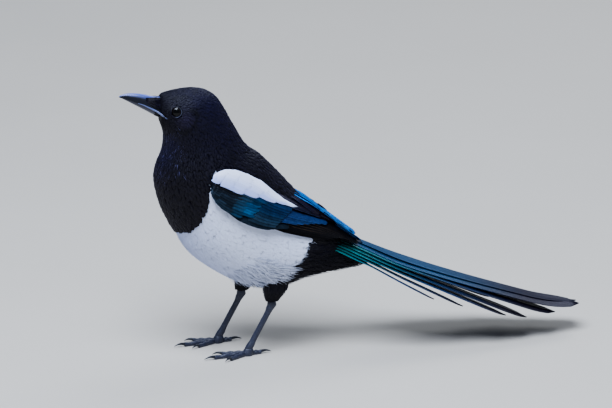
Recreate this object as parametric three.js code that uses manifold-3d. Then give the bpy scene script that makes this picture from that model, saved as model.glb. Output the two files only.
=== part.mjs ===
// A Eurasian magpie (Pica pica) standing on open ground, at life size, as a still museum model.
// Millimetres, +Z up. The bird faces -X, its left side is -Y, and its soles lie at Z = 0.
// The origin ends under the middle of the bird's box.
import * as THREE from "three";
import { mergeVertices } from "three/addons/utils/BufferGeometryUtils.js";
import Module from "manifold-3d";

const wasm = await Module();
wasm.setup();

// Driving dimensions
const seam = 0.3; // gap between two nodes that meet
const coverGap = 0.45; // how far the wing and thigh stay off the body, measured in a section
const ringSides = 24; // sides of a body section
const eyeballRadius = 6.3;
const eyeDiscRadius = 4.6; // the part of the eyeball that shows
const vaneThickness = 0.6;
const toeHeight = 4.2;
const soleLevel = 0;

// The body in side view, from the face to the tail: each station has a point on the back line,
// a point on the throat and belly line, and the half width between them.
const bodyStations = [
  { back: [-60.3, 225], belly: [-60.8, 204], half: 9.5 }, // face, round the bill
  { back: [-54, 226.5], belly: [-59.6, 200.5], half: 13.8 },
  { back: [-44, 228], belly: [-58.2, 197], half: 17.2 }, // through the eyes
  { back: [-33, 228.5], belly: [-57.2, 193.5], half: 19.3 }, // crown
  { back: [-22, 226.5], belly: [-56.6, 190], half: 20.6 },
  { back: [-13, 220.5], belly: [-56.6, 185.5], half: 21.4 }, // nape and throat
  { back: [-6.6, 210.8], belly: [-57.2, 179.5], half: 22.2 },
  { back: [-1, 200], belly: [-59.3, 171.5], half: 23.5 },
  { back: [4, 191], belly: [-63, 163], half: 25.5 }, // foot of the neck
  { back: [8.5, 182.5], belly: [-64.5, 152.5], half: 28.5 },
  { back: [14.5, 174.8], belly: [-62.5, 140], half: 31.5 }, // shoulders and breast
  { back: [24, 168], belly: [-57.5, 125], half: 34 },
  { back: [36, 155.5], belly: [-49, 108.5], half: 35.5 }, // mantle
  { back: [48, 142], belly: [-36, 88], half: 36 },
  { back: [60, 128], belly: [-14, 70.5], half: 34.5 }, // belly
  { back: [71, 115.5], belly: [9, 58.5], half: 32 },
  { back: [82, 104.5], belly: [33, 54.8], half: 27.5 }, // rump, between the thighs
  { back: [92, 96], belly: [57, 61], half: 18.5 },
  { back: [101, 90], belly: [80, 65], half: 13.5 }, // vent
  { back: [110, 84.5], belly: [101, 67.5], half: 9.5 }, // root of the tail
  { back: [117, 79.5], belly: [112, 69.5], half: 6.5 },
  { back: [122, 76.5], belly: [120, 73], half: 3 },
];
const neckStart = 4.6; // where the head ends, in stations
const torsoStart = 8;
const tailStart = 19;
const tailEnd = 21;

// Materials
const blackPlumage = new THREE.MeshStandardMaterial({ color: 0x0b0c10, roughness: 0.6 });
const pied = new THREE.MeshStandardMaterial({ color: 0xd9d8d4, roughness: 0.8 });
const wingPlumage = new THREE.MeshStandardMaterial({ color: 0x12304a, roughness: 0.45 });
const tailPlumage = new THREE.MeshStandardMaterial({ color: 0x0d3038, roughness: 0.4 });
const horn = new THREE.MeshStandardMaterial({ color: 0x17191d, roughness: 0.35 });
const eyeDark = new THREE.MeshStandardMaterial({ color: 0x140c08, roughness: 0.1 });
const legSkin = new THREE.MeshStandardMaterial({ color: 0x1c1f25, roughness: 0.55 });

// Small helpers
const mix = (a, b, t) => a + (b - a) * t;
const clamp = (value, low, high) => Math.min(Math.max(value, low), high);
const ease = (t) => {
  const s = clamp(t, 0, 1);
  return s * s * (3 - 2 * s);
};
const point = (x, y, z) => new THREE.Vector3(x, y, z);

// A smooth curve through rows of numbers, read at row number s
function through(rows, s) {
  const last = rows.length - 1;
  const i = clamp(Math.floor(s), 0, last - 1);
  const f = s - i;
  const row = (k) => rows[clamp(i + k, 0, last)];
  return rows[i].map((_, c) => {
    const [p, q, r, e] = [row(-1)[c], row(0)[c], row(1)[c], row(2)[c]];
    const bend = 2 * p - 5 * q + 4 * r - e;
    const twist = 3 * q - p - 3 * r + e;
    return 0.5 * (2 * q + (r - p) * f + bend * f * f + twist * f * f * f);
  });
}

function geometryFrom(points, triangles) {
  const geometry = new THREE.BufferGeometry();
  const flat = points.flatMap((p) => [p.x, p.y, p.z]);
  geometry.setAttribute("position", new THREE.Float32BufferAttribute(flat, 3));
  geometry.setIndex(triangles);
  return geometry;
}

function signedVolume(geometry) {
  const place = geometry.getAttribute("position");
  const index = geometry.getIndex();
  const corner = (k) => new THREE.Vector3().fromBufferAttribute(place, index.getX(k));
  let total = 0;
  for (let k = 0; k < index.count; k += 3) {
    total += corner(k).dot(corner(k + 1).cross(corner(k + 2)));
  }
  return total / 6;
}

function turnedOver(geometry) {
  const index = Array.from(geometry.getIndex().array);
  for (let k = 0; k < index.length; k += 3) {
    [index[k + 1], index[k + 2]] = [index[k + 2], index[k + 1]];
  }
  geometry.setIndex(index);
  return geometry;
}

const outward = (geometry) => (signedVolume(geometry) < 0 ? turnedOver(geometry) : geometry);

// A closed skin over a row of rings, with a fan on each end
function loft(rings) {
  const sides = rings[0].length;
  const points = rings.flat();
  const triangles = [];
  for (let r = 0; r < rings.length - 1; r += 1) {
    for (let k = 0; k < sides; k += 1) {
      const next = (k + 1) % sides;
      const a = r * sides + k;
      const b = r * sides + next;
      triangles.push(a, b, b + sides, a, b + sides, a + sides);
    }
  }
  const centre = (ring) => ring.reduce((sum, p) => sum.add(p), point(0, 0, 0)).divideScalar(sides);
  const ends = [0, rings.length - 1];
  for (const end of ends) {
    points.push(centre(rings[end]));
    const middle = points.length - 1;
    for (let k = 0; k < sides; k += 1) {
      const next = (k + 1) % sides;
      const a = end * sides + k;
      const b = end * sides + next;
      triangles.push(...(end === 0 ? [middle, b, a] : [middle, a, b]));
    }
  }
  return outward(geometryFrom(points, triangles));
}

// A thin plate over a grid of points, split into triangles alike on both faces
function plate(tops, bottoms) {
  const rows = tops.length;
  const columns = tops[0].length;
  const size = rows * columns;
  const at = (r, c) => r * columns + c;
  const triangles = [];
  for (let r = 0; r < rows - 1; r += 1) {
    for (let c = 0; c < columns - 1; c += 1) {
      const faces = [
        [at(r, c), at(r + 1, c), at(r + 1, c + 1)],
        [at(r, c), at(r + 1, c + 1), at(r, c + 1)],
      ];
      for (const [a, b, d] of faces) {
        triangles.push(a, b, d, a + size, d + size, b + size);
      }
    }
  }
  const rim = [];
  for (let r = 0; r < rows - 1; r += 1) rim.push(at(r, 0));
  for (let c = 0; c < columns - 1; c += 1) rim.push(at(rows - 1, c));
  for (let r = rows - 1; r > 0; r -= 1) rim.push(at(r, columns - 1));
  for (let c = columns - 1; c > 0; c -= 1) rim.push(at(0, c));
  rim.forEach((a, k) => {
    const b = rim[(k + 1) % rim.length];
    triangles.push(b, a, a + size, b, a + size, b + size);
  });
  return outward(geometryFrom([...tops.flat(), ...bottoms.flat()], triangles));
}

function toSolid(geometry) {
  const bare = geometry.clone();
  bare.deleteAttribute("normal");
  bare.deleteAttribute("uv");
  const merged = mergeVertices(bare, 1e-4);
  return new wasm.Manifold(
    new wasm.Mesh({
      numProp: 3,
      vertProperties: new Float32Array(merged.getAttribute("position").array),
      triVerts: new Uint32Array(merged.getIndex().array),
    }),
  );
}

function toGeometry(solid) {
  const mesh = solid.getMesh();
  const geometry = new THREE.BufferGeometry();
  geometry.setAttribute("position", new THREE.BufferAttribute(mesh.vertProperties, 3));
  geometry.setIndex(Array.from(mesh.triVerts));
  return geometry;
}

// Only the largest closed surface of a joined or cut solid, without slivers
const sliver = 0.04;
function largest(solid) {
  const parts = solid.simplify(sliver).decompose().sort((a, b) => b.volume() - a.volume());
  return parts[0];
}

const joined = (solids) => solids.reduce((sum, solid) => sum.add(solid));

function mirrored(geometry) {
  return turnedOver(geometry.clone().scale(1, -1, 1));
}

const bird = new THREE.Group();
function addNode(name, geometry, material) {
  geometry.computeVertexNormals();
  const mesh = new THREE.Mesh(geometry, material);
  mesh.name = name;
  bird.add(mesh);
}

// The body, one smooth form from the face to the tail coverts
const stationRows = bodyStations.map(({ back, belly, half }) => [...back, ...belly, half]);
const station = (s) => {
  const [backX, backZ, bellyX, bellyZ, half] = through(stationRows, s);
  return { backX, backZ, bellyX, bellyZ, half };
};

function bodyRing(s, grow) {
  const { backX, backZ, bellyX, bellyZ, half } = station(s);
  const reach = Math.hypot(bellyX - backX, bellyZ - backZ) / 2;
  const stretch = (reach + grow) / reach;
  const ring = [];
  for (let k = 0; k < ringSides; k += 1) {
    const turn = (2 * Math.PI * k) / ringSides;
    const down = 0.5 - 0.5 * Math.cos(turn) * stretch;
    const side = Math.sin(turn) * (half + grow);
    ring.push(point(mix(backX, bellyX, down), side, mix(backZ, bellyZ, down)));
  }
  return ring;
}

// A length of the body with a ring at each end and at every half station between
function bodyLength(from, to, grow = 0) {
  const stops = [from];
  for (let s = Math.floor(from * 2 + 1.4) / 2; s < to - 0.1; s += 0.5) stops.push(s);
  return loft([...stops, to].map((s) => bodyRing(s, grow)));
}

// Half width of the body at a point of its side view
function bodyHalfAt(x, z) {
  const step = 0.05;
  let before = null;
  for (let s = neckStart; s <= tailEnd; s += step) {
    const { backX, backZ, bellyX, bellyZ, half } = station(s);
    const runX = bellyX - backX;
    const runZ = bellyZ - backZ;
    const side = runX * (z - backZ) - runZ * (x - backX);
    if (before !== null && side > 0 !== before > 0) {
      const down = ((x - backX) * runX + (z - backZ) * runZ) / (runX ** 2 + runZ ** 2);
      if (down >= 0 && down <= 1) return half * Math.sqrt(1 - (1 - 2 * down) ** 2);
    }
    before = side;
  }
  return 0;
}

const bodyKeepOut = toSolid(bodyLength(torsoStart, tailEnd, coverGap));

// Neck and torso
const neckSeam = 0.07; // the seam in stations, where the throat's sections lie closest
const torsoSeam = 0.05;
addNode("neck", bodyLength(neckStart + neckSeam, torsoStart - torsoSeam), blackPlumage);
addNode("torso", bodyLength(torsoStart, tailStart - torsoSeam), pied);

// Head: sockets for the eyes, lids, the line of the mouth and the bristles over the nostrils
const eyePlace = point(-49.2, -16.4, 213.9);
const eyeSink = Math.sqrt(eyeballRadius ** 2 - eyeDiscRadius ** 2);
const eyeAxis = point(-0.24, -1, 0.2).normalize();
const eyeCentre = eyePlace.clone().addScaledVector(eyeAxis, -eyeSink);
const lidRadius = 0.75;

function facing(geometry, axis, place) {
  const turn = new THREE.Quaternion().setFromUnitVectors(point(0, 0, 1), axis);
  return geometry.applyQuaternion(turn).translate(place.x, place.y, place.z);
}

function ball(radius, centre) {
  const sphere = new THREE.SphereGeometry(radius, 12, 8);
  return mergeVertices(bareGeometry(sphere).translate(centre.x, centre.y, centre.z), 1e-3);
}

function bareGeometry(geometry) {
  geometry.deleteAttribute("normal");
  geometry.deleteAttribute("uv");
  return geometry;
}

const socket = ball(eyeballRadius + seam, eyeCentre);
const lidRing = new THREE.TorusGeometry(eyeDiscRadius + 0.5, lidRadius, 5, 14);
const lid = mergeVertices(bareGeometry(lidRing), 1e-3);
facing(lid, eyeAxis, eyePlace);

// A lock of bristles: a flat tapered plate from the face forward over the bill
function bristle({ root, tip, width, lift }) {
  const steps = 2;
  const tops = [];
  const bottoms = [];
  const along = tip.clone().sub(root);
  const up = point(0, root.y, lift).normalize();
  const across = new THREE.Vector3().crossVectors(up, along).normalize();
  for (let k = 0; k <= steps; k += 1) {
    const t = k / steps;
    const bow = 0.9 * Math.sin(Math.PI * t);
    const centre = root.clone().addScaledVector(along, t).addScaledVector(up, bow);
    const reach = width * (1 - 0.85 * t ** 1.6);
    const thick = mix(0.7, 0.25, t);
    const row = [-1, 1].map((side) => centre.clone().addScaledVector(across, side * reach));
    tops.push(row.map((p) => p.clone().addScaledVector(up, thick)));
    bottoms.push(row);
  }
  return plate(tops, bottoms);
}

const faceX = -60.4;
const bristleRows = [
  { root: [faceX + 2, 6.6, 215.5], tip: [-71.5, 6.6, 219.2], width: 1.6, lift: 0.4 },
  { root: [faceX + 2, 7.3, 218.6], tip: [-73, 5.9, 221.2], width: 1.8, lift: 1.5 },
  { root: [faceX + 2, 6.2, 221.3], tip: [-72, 4.8, 223.2], width: 1.8, lift: 4 },
  { root: [faceX + 2, 4.6, 222.8], tip: [-69.5, 3.9, 224.4], width: 1.6, lift: 7 },
];

// The corner of the mouth: a groove over the face and a low ridge of bare skin under it
const mouthHeight = 0.8;
function mouthLine() {
  const front = point(-61.5, -8, 212.2);
  const gape = point(-55.4, -12.6, 208.4);
  const inward = point(0.3, 0.95, 0);
  const rows = [front, gape].map((p) => [0, 1].map((k) => p.clone().addScaledVector(inward, k * 3.4 - 2.2)));
  const tops = rows.map((row) => row.map((p) => p.clone().add(point(0, 0, mouthHeight / 2))));
  const bottoms = rows.map((row) => row.map((p) => p.clone().add(point(0, 0, -mouthHeight / 2))));
  return plate(tops, bottoms);
}

const lipRows = [
  { centre: point(-60.75, -8.7, 210.4), radius: 0.9 },
  { centre: point(-58.6, -11, 208.9), radius: 0.95 },
  { centre: point(-56.2, -13.6, 207.3), radius: 0.6 },
];
function mouthRidge() {
  return loft(lipRows.map(({ centre, radius }) => {
    const ring = [];
    for (let k = 0; k < 6; k += 1) {
      const turn = (2 * Math.PI * k) / 6;
      const offset = point(0, radius * Math.cos(turn), radius * Math.sin(turn));
      ring.push(centre.clone().add(offset));
    }
    return ring;
  }));
}

function buildHead() {
  const extras = [lid, mouthRidge(), ...bristleRows.map((row) => bristle({
    ...row,
    root: point(row.root[0], -row.root[1], row.root[2]),
    tip: point(row.tip[0], -row.tip[1], row.tip[2]),
  }))];
  const cuts = [socket, mouthLine()];
  const both = (geometry) => [toSolid(geometry), toSolid(mirrored(geometry))];
  const grown = joined([toSolid(bodyLength(0, neckStart)), ...extras.flatMap(both)]);
  return toGeometry(largest(grown.subtract(joined(cuts.flatMap(both)))));
}
addNode("head", buildHead(), blackPlumage);
const eyeball = ball(eyeballRadius, eyeCentre);
addNode("eye_left", eyeball, eyeDark);
addNode("eye_right", mirrored(eyeball), eyeDark);

// Bill: rows of x, height of the ridge, of the cutting edge and of the lower edge, and half width
const billRows = [
  [-61.1, 223, 211.6, 206.3, 6.6],
  [-66.5, 224.2, 213.9, 208.6, 6],
  [-72.8, 225.9, 217.3, 212.3, 5],
  [-80.6, 227.2, 220.4, 216.8, 3.7],
  [-88.4, 227.4, 223.2, 221.3, 2.1],
  [-92.6, 226.4, 224.5, 223.6, 1],
];
const billTip = [-94.6, 224.9];
const billSteps = 9;

function billSolid(section) {
  const rings = [];
  for (let k = 0; k <= billSteps; k += 1) {
    rings.push(section(...through(billRows, (k / billSteps) * (billRows.length - 1))));
  }
  return rings;
}

const upperSection = (x, ridge, edge, _lower, half) => [
  point(x, 0, ridge),
  point(x, 0.5 * half, mix(ridge, edge, 0.12)),
  point(x, 0.85 * half, mix(ridge, edge, 0.45)),
  point(x, half, edge),
  point(x, 0, edge),
  point(x, -half, edge),
  point(x, -0.85 * half, mix(ridge, edge, 0.45)),
  point(x, -0.5 * half, mix(ridge, edge, 0.12)),
];
const lowerSection = (x, _ridge, edge, lower, half) => [
  point(x, 0, edge - seam),
  point(x, 0.94 * half, edge - seam),
  point(x, 0.8 * half, mix(edge, lower, 0.6)),
  point(x, 0.35 * half, lower),
  point(x, -0.35 * half, lower),
  point(x, -0.8 * half, mix(edge, lower, 0.6)),
  point(x, -0.94 * half, edge - seam),
];
const hook = 0.35;
const upperRings = billSolid(upperSection);
const hookSides = [0.12, 0.5, 1, 1, 0.5, 1, 1, 0.5];
upperRings.push(hookSides.map((share, k) => {
  const side = Math.sign(k === 0 || k === 4 ? 0 : 4 - k);
  return point(billTip[0], side * hook * share, billTip[1] + (k < 2 || k === 7 ? hook : 0));
}));
addNode("bill_upper", loft(upperRings), horn);
addNode("bill_lower", loft(billSolid(lowerSection)), horn);

// Wing: a sheet in side view from the shoulder (row 0) to the tip (row 10). Each row has the upper
// and the lower edge as x, distance from the bird's middle, z.
const wingRows = [
  { upper: [-20, 32, 166], lower: [-23.5, 36, 146] }, // shoulder
  { upper: [-8, 29.5, 168.5], lower: [-17, 38, 137.5] },
  { upper: [5, 28, 164], lower: [-6, 40, 129] },
  { upper: [18, 27, 155], lower: [6, 41, 122] },
  { upper: [31, 26.5, 142], lower: [18, 40, 117] },
  { upper: [44, 23.5, 132], lower: [32, 37.7, 113.6] }, // end of the great coverts
  { upper: [57, 18.5, 124], lower: [46.6, 33.3, 108.6] },
  { upper: [70, 13.5, 117], lower: [62, 28, 103.2] },
  { upper: [83, 12, 109], lower: [76, 24, 100] },
  { upper: [96, 11.5, 99.5], lower: [90, 20.5, 96.5] },
  { upper: [107, 10, 90], lower: [103, 15.5, 90] }, // wing tip
].map(({ upper, lower }) => [...upper, ...lower]);
const wingBulge = 2.5;
const wingStack = 1.4; // how far the upper tiers stand over the sheet at the wing's edges
const wingCover = 1.8; // least height of the sheet over the body
const midlineClear = 1.5; // no feather of a wing comes closer to the bird's middle

function wingSheet(u, v) {
  const [upperX, upperY, upperZ, lowerX, lowerY, lowerZ] = through(wingRows, u);
  const x = mix(upperX, lowerX, v);
  const z = mix(upperZ, lowerZ, v);
  const bulge = wingBulge * 4 * v * (1 - v) * (1 - u / 12);
  const own = mix(upperY, lowerY, v) + bulge - wingStack;
  return point(x, -Math.max(own, bodyHalfAt(x, z) + wingCover), z);
}

// Directions on a sheet: along the feathers, across them and out of the surface
function sheetFrame(sheet, u, v, [du, dv], outside) {
  const reach = 0.05;
  const centre = sheet(u, v);
  const ahead = sheet(u + du * reach, v + dv * reach);
  const behind = sheet(u - du * reach, v - dv * reach);
  const along = ahead.sub(behind).normalize();
  const beside = sheet(u - dv * reach, v + du * reach * 0.4).sub(centre);
  const up = new THREE.Vector3().crossVectors(along, beside).normalize();
  if (up.dot(outside) < 0) up.negate();
  return { centre, along, up, across: new THREE.Vector3().crossVectors(up, along) };
}

// The outline of a feather: narrow at the root, full in the middle, round at the tip
const tipShare = 0.16;
function bladeShare(t, roundness) {
  const root = mix(0.45, 1, ease(t / 0.4));
  const end = clamp((t - (1 - roundness)) / roundness, 0, 1);
  return root * mix(1, tipShare, end ** 2.4);
}

// A vane on a sheet. It starts sunk under the sheet and rises to its own tier. Its lower edge is
// tilted up and its upper edge down, so that a row of vanes lies like shingles.
const shaftRise = 0.25;
function feather(sheet, spec) {
  const { from, to, half, lift, tilt, steps, outside, sunk, roundness, keep, sides } = spec;
  const tops = [];
  const bottoms = [];
  const way = [to[0] - from[0], to[1] - from[1]];
  const stops = [1 - 0.4 * roundness, 1];
  for (let k = steps - 2; k >= 0; k -= 1) stops.unshift((k / (steps - 2)) * (1 - roundness));
  for (const t of stops) {
    const [u, v] = [mix(from[0], to[0], t), mix(from[1], to[1], t)];
    const { centre, up, across } = sheetFrame(sheet, u, v, way, outside);
    const height = mix(-sunk, lift, ease(t / 0.4));
    const share = bladeShare(t, roundness);
    const row = sides.map((side) => {
      const rise = height + (side === 0 ? shaftRise : -side * tilt * share);
      return keep(
        centre.clone().addScaledVector(across, side * half * share).addScaledVector(up, rise),
      );
    });
    const thick = vaneThickness * mix(1, 0.6, ease((t - 0.8) / 0.2));
    tops.push(row);
    bottoms.push(row.map((p) => p.clone().addScaledVector(up, -thick)));
  }
  return plate(tops, bottoms);
}
const flat = [-1, 1]; // across a covert: its two edges
const shafted = [-1, 0, 1]; // across a flight feather: its edges and its shaft

// A row of like feathers, from its first to its last
function featherRow(count, first, last, shared) {
  const row = [];
  for (let k = 0; k < count; k += 1) {
    const t = count === 1 ? 0 : k / (count - 1);
    const between = (key) => first[key].map((value, c) => mix(value, last[key][c], t));
    const half = mix(first.half, last.half, t);
    row.push({ ...shared, from: between("from"), to: between("to"), half });
  }
  return row;
}

// The wing's inner part lies over the back, from row 4 on. Each row has the crest and then the
// inner edge as x, distance from the bird's middle, z.
const foldRows = [
  { crest: [33, 9, 149], inner: [33, 2.5, 147] },
  { crest: [46, 9, 140.5], inner: [46, 2.5, 138.5] },
  { crest: [58, 12, 130.8], inner: [58, 2.5, 127.5] },
  { crest: [70, 12, 122.8], inner: [70, 2.5, 119.5] },
  { crest: [84, 11.5, 112.9], inner: [84, 2.5, 109.5] },
  { crest: [97, 11, 101.6], inner: [97, 2.5, 98.5] },
  { crest: [108, 9.5, 90.3], inner: [108, 3, 88.7] },
].map(({ crest, inner }) => [...crest, ...inner]);
const foldStart = 4;

// From the wing's upper edge (w 0) by the crest (0.5) to the inner edge (1)
function foldSheet(u, w) {
  const row = through(foldRows, u - foldStart);
  const edge = wingSheet(u, 0);
  const crest = point(row[0], -row[1], row[2]);
  const inner = point(row[3], -row[4], row[5]);
  return edge
    .multiplyScalar((1 - w) * (1 - 2 * w))
    .addScaledVector(crest, 4 * w * (1 - w))
    .addScaledVector(inner, w * (2 * w - 1));
}

const keepLeft = (p) => p.setY(Math.min(p.y, -midlineClear));
const onWing = {
  outside: point(0.1, -1, 0.35),
  tilt: 0.75,
  sunk: 1.3,
  roundness: 0.2,
  sides: flat,
  keep: keepLeft,
};

function wingFeathers() {
  const primaries = featherRow(
    5,
    { from: [4.2, 0.9], to: [7.4, 0.95], half: 4.4 },
    { from: [4.2, 0.6], to: [10, 0.4], half: 5.2 },
    { ...onWing, lift: -0.3, steps: 4, roundness: 0.12 },
  );
  const secondaries = featherRow(
    5,
    { from: [2.9, 0.84], to: [8.6, 0.42], half: 5 },
    { from: [2.9, 0.5], to: [6.8, 0.16], half: 5.6 },
    { ...onWing, lift: 1.1, steps: 4, roundness: 0.12 },
  );
  const tertials = featherRow(
    2,
    { from: [2.7, 0.4], to: [6, 0.2], half: 5.6 },
    { from: [2.7, 0.26], to: [5, 0.12], half: 5.4 },
    { ...onWing, lift: 2.2, steps: 3 },
  );
  const primaryCoverts = featherRow(
    2,
    { from: [2.4, 1], to: [5.1, 0.97], half: 2.8 },
    { from: [2.4, 0.88], to: [5.7, 0.86], half: 3.2 },
    { ...onWing, lift: 0.9, steps: 4 },
  );
  const greatCoverts = featherRow(
    6,
    { from: [1.9, 0.92], to: [4.2, 0.88], half: 3.8 },
    { from: [2.2, 0.4], to: [4.9, 0.32], half: 4.6 },
    { ...onWing, lift: 2.2, steps: 3 },
  );
  const middleCoverts = featherRow(
    4,
    { from: [0.7, 0.92], to: [2.5, 0.9], half: 3.8 },
    { from: [1.2, 0.42], to: [3.2, 0.38], half: 4.8 },
    { ...onWing, lift: 1.9, steps: 3 },
  );
  const scapulars = featherRow(
    5,
    { from: [0.3, 0.44], to: [4.2, 0.36], half: 5 },
    { from: [1.2, 0.14], to: [5.6, 0.14], half: 4.8 },
    { ...onWing, lift: 3, steps: 3 },
  );
  const flight = [primaries, secondaries, tertials];
  const coverts = [primaryCoverts, greatCoverts, middleCoverts, scapulars];
  return [...flight, ...coverts].flat();
}

function foldFeathers() {
  const onFold = { ...onWing, outside: point(0.4, -0.1, 1), tilt: 0.5, steps: 3, sunk: 0.6 };
  const crest = featherRow(
    2,
    { from: [5.2, 0.92], to: [8.8, 0.92], half: 3 },
    { from: [5.2, 0.62], to: [9.5, 0.66], half: 3.4 },
    { ...onFold, lift: 0.7 },
  );
  const tertials = featherRow(
    2,
    { from: [5, 0.06], to: [9.4, 0.12], half: 4 },
    { from: [5, 0.34], to: [8.4, 0.36], half: 3.6 },
    { ...onFold, lift: 1.4 },
  );
  return [...crest, ...tertials];
}

// The skin of the fold under its feathers, joined to the wing's upper edge
const foldSkin = 0.9;
function foldWeb() {
  const tops = [];
  const steps = 6;
  for (let k = 0; k <= steps; k += 1) {
    const u = mix(5, 9.2, k / steps);
    const row = [wingSheet(u, 0.25), wingSheet(u, 0.08)];
    for (const w of [0.15, 0.4, 0.65, 0.95]) row.push(foldSheet(u, w));
    tops.push(row.map(keepLeft));
  }
  const bottoms = tops.map((row) => row.map((p) => p.clone().add(point(0, 0.3, -foldSkin))));
  return plate(tops, bottoms);
}

// The arm of the wing under the coverts, which all feathers grow from
function wingArm() {
  const rings = [];
  const steps = 8;
  const across = 4;
  for (let k = 0; k <= steps; k += 1) {
    const u = mix(0.25, 6.2, k / steps);
    const depth = mix(9, 2, ease((u - 2.5) / 3.5));
    const outer = [];
    const inner = [];
    for (let c = 0; c <= across; c += 1) {
      const p = wingSheet(u, mix(0.03, 0.97, c / across));
      outer.push(p.clone().add(point(0, 0.3, 0)));
      inner.unshift(p.clone().add(point(0, depth, 0)));
    }
    rings.push([...outer, ...inner]);
  }
  return loft(rings);
}

// Tail: twelve long feathers in steps. Each lies on its own line under the ridge, from the rump
// to its tip, nearly level across and a little lower than the feather inside it.
const ridgeRows = [
  [80, 101],
  [98, 92.3],
  [112, 85.5],
  [144, 70.4],
  [192, 52.2],
  [240, 36],
  [266, 28.2],
  [297, 22.8],
];

function ridgeHeight(x) {
  let low = 0;
  let high = ridgeRows.length - 1;
  for (let k = 0; k < 30; k += 1) {
    const middle = (low + high) / 2;
    if (through(ridgeRows, middle)[0] < x) low = middle;
    else high = middle;
  }
  return through(ridgeRows, low)[1];
}

// From the middle pair outward: the tip as x, distance from the middle and z; at the root the
// distance and the drop below the ridge; the half width; and the lean of the vane near its tip
const tailFeathers = [
  { tip: [296, 5.5, 22.8], root: [2, 0], half: 13, lean: 0.125 },
  { tip: [273.7, 14, 19.3], root: [5, 1.6], half: 11.5, lean: 0.05 },
  { tip: [247.6, 22, 18.7], root: [7.5, 4], half: 10.5, lean: 0.015 },
  { tip: [228.6, 27, 23.2], root: [10, 6.5], half: 9.5, lean: -0.025 },
  { tip: [191.5, 29, 34], root: [12, 9], half: 8, lean: -0.065 },
  { tip: [166.4, 31, 42.3], root: [14, 11.5], half: 6.5, lean: -0.085 },
];
const tailRootX = 94;
const rootLean = 0.25;
const rightLower = 0.8; // how far the right middle feather lies under the left one

function tailVane({ tip, root, half, lean }, k, side) {
  const [tipX, tipY, tipZ] = tip;
  const [rootY, rootDrop] = root;
  const tipDrop = ridgeHeight(tipX) - tipZ + (k === 0 && side === 1 ? rightLower : 0);
  const sheet = (share, beside) => {
    const x = mix(tailRootX, tipX, share);
    const drop = mix(rootDrop, tipDrop, clamp(share, 0, 1.1) ** 2);
    const slope = mix(rootLean, lean, ease(share / 0.4));
    const y = side * (mix(rootY, tipY, share) + beside);
    return point(x, y, ridgeHeight(x) - drop - slope * beside);
  };
  return feather(sheet, {
    from: [0, 0],
    to: [1, 0],
    half,
    lift: 0,
    sunk: 0,
    tilt: 0,
    steps: 6,
    roundness: 0.15,
    outside: point(0.3, 0, 1),
    keep: (p) => p,
    sides: shafted,
  });
}

// Sections of the tail's root, which holds all its feathers: distance from the middle and height
// over the ridge, from the middle of the back round the left side to the middle below
const rootSection = [[0, 0.7], [6, -1], [12.6, -6.2], [18.5, -11.6], [15, -13.6], [7, -14.6], [0, -15]];
const roofSection = [[0, 1.5], [10, -0.6], [17, -4.6], [25, -10], [25, -24], [0, -24]];
const rootStops = [
  { x: 99, share: 1 },
  { x: 108, share: 1 },
  { x: 115, share: 0.9 },
  { x: 122, share: 0.6 },
];
function roofRing(section, x, share) {
  const left = section.map(([y, rise]) => point(x, -y * share, ridgeHeight(x) + rise * share));
  const right = left.slice(1, -1).reverse().map((p) => p.clone().setY(-p.y));
  return [...left, ...right];
}
const tailRoot = () => loft(rootStops.map(({ x, share }) => roofRing(rootSection, x, share)));
const tailKeepOut = toSolid(loft([94, 104, 114, 124].map((x) => roofRing(roofSection, x, 1))));
const torsoKeepOut = toSolid(bodyLength(torsoStart, tailStart, coverGap));

function buildTail() {
  const coverts = toSolid(bodyLength(tailStart + torsoSeam, tailEnd));
  const vanes = tailFeathers.flatMap((row, k) => [1, -1].map((side) => tailVane(row, k, side)));
  const whole = joined([coverts, toSolid(tailRoot()), ...vanes.map(toSolid)]);
  return toGeometry(largest(whole.subtract(torsoKeepOut)));
}
addNode("tail", buildTail(), tailPlumage);

function buildWing() {
  const onSide = wingFeathers().map((spec) => toSolid(feather(wingSheet, spec)));
  const onFold = foldFeathers().map((spec) => toSolid(feather(foldSheet, spec)));
  const whole = joined([toSolid(wingArm()), toSolid(foldWeb()), ...onSide, ...onFold]);
  return toGeometry(largest(whole.subtract(bodyKeepOut).subtract(tailKeepOut)));
}
const wing = buildWing();
addNode("wing_left", wing, wingPlumage);
addNode("wing_right", mirrored(wing), wingPlumage);

// Legs: each has a feathered thigh, a scaly shank, a foot of four toes and four claws
const legs = {
  left: { side: -1, thigh: [33, 19, 54], heel: [31, 18, 42], ball: [9.4, 20], turn: 11 },
  right: { side: 1, thigh: [16.5, 19, 54], heel: [12.5, 18, 42], ball: [-7.7, 20], turn: -10 },
};
const toes = [
  { name: "middle", angle: 0, length: 29, claw: 9.5, radius: 2.1 },
  { name: "inner", angle: -22, length: 21, claw: 8, radius: 1.9 },
  { name: "outer", angle: 26, length: 20, claw: 7.5, radius: 1.9 },
  { name: "hind", angle: 180, length: 12.5, claw: 9.5, radius: 2.1 },
];
const thighTop = 74;
const thighFoot = 45.4;
const footTop = 6.2;

function ovalRing(x, y, z, reachX, reachY, sides) {
  const ring = [];
  for (let k = 0; k < sides; k += 1) {
    const turn = (2 * Math.PI * k) / sides;
    ring.push(point(x + reachX * Math.cos(turn), y + reachY * Math.sin(turn), z));
  }
  return ring;
}

function buildThigh({ side, thigh, heel }) {
  const y = (value) => side * value;
  const rings = [
    ovalRing(thigh[0] + 4, y(thigh[1] - 2), thighTop, 17, 11, 16),
    ovalRing(thigh[0] + 2, y(thigh[1] - 1), 62, 13, 9.5, 16),
    ovalRing(thigh[0], y(thigh[1]), thigh[2], 9.5, 8, 16),
    ovalRing(mix(thigh[0], heel[0], 0.6), y(heel[1]), 49, 6.8, 6, 16),
    ovalRing(heel[0], y(heel[1]), thighFoot, 4.8, 4.4, 16),
  ];
  return toGeometry(largest(toSolid(loft(rings)).subtract(bodyKeepOut)));
}

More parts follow.
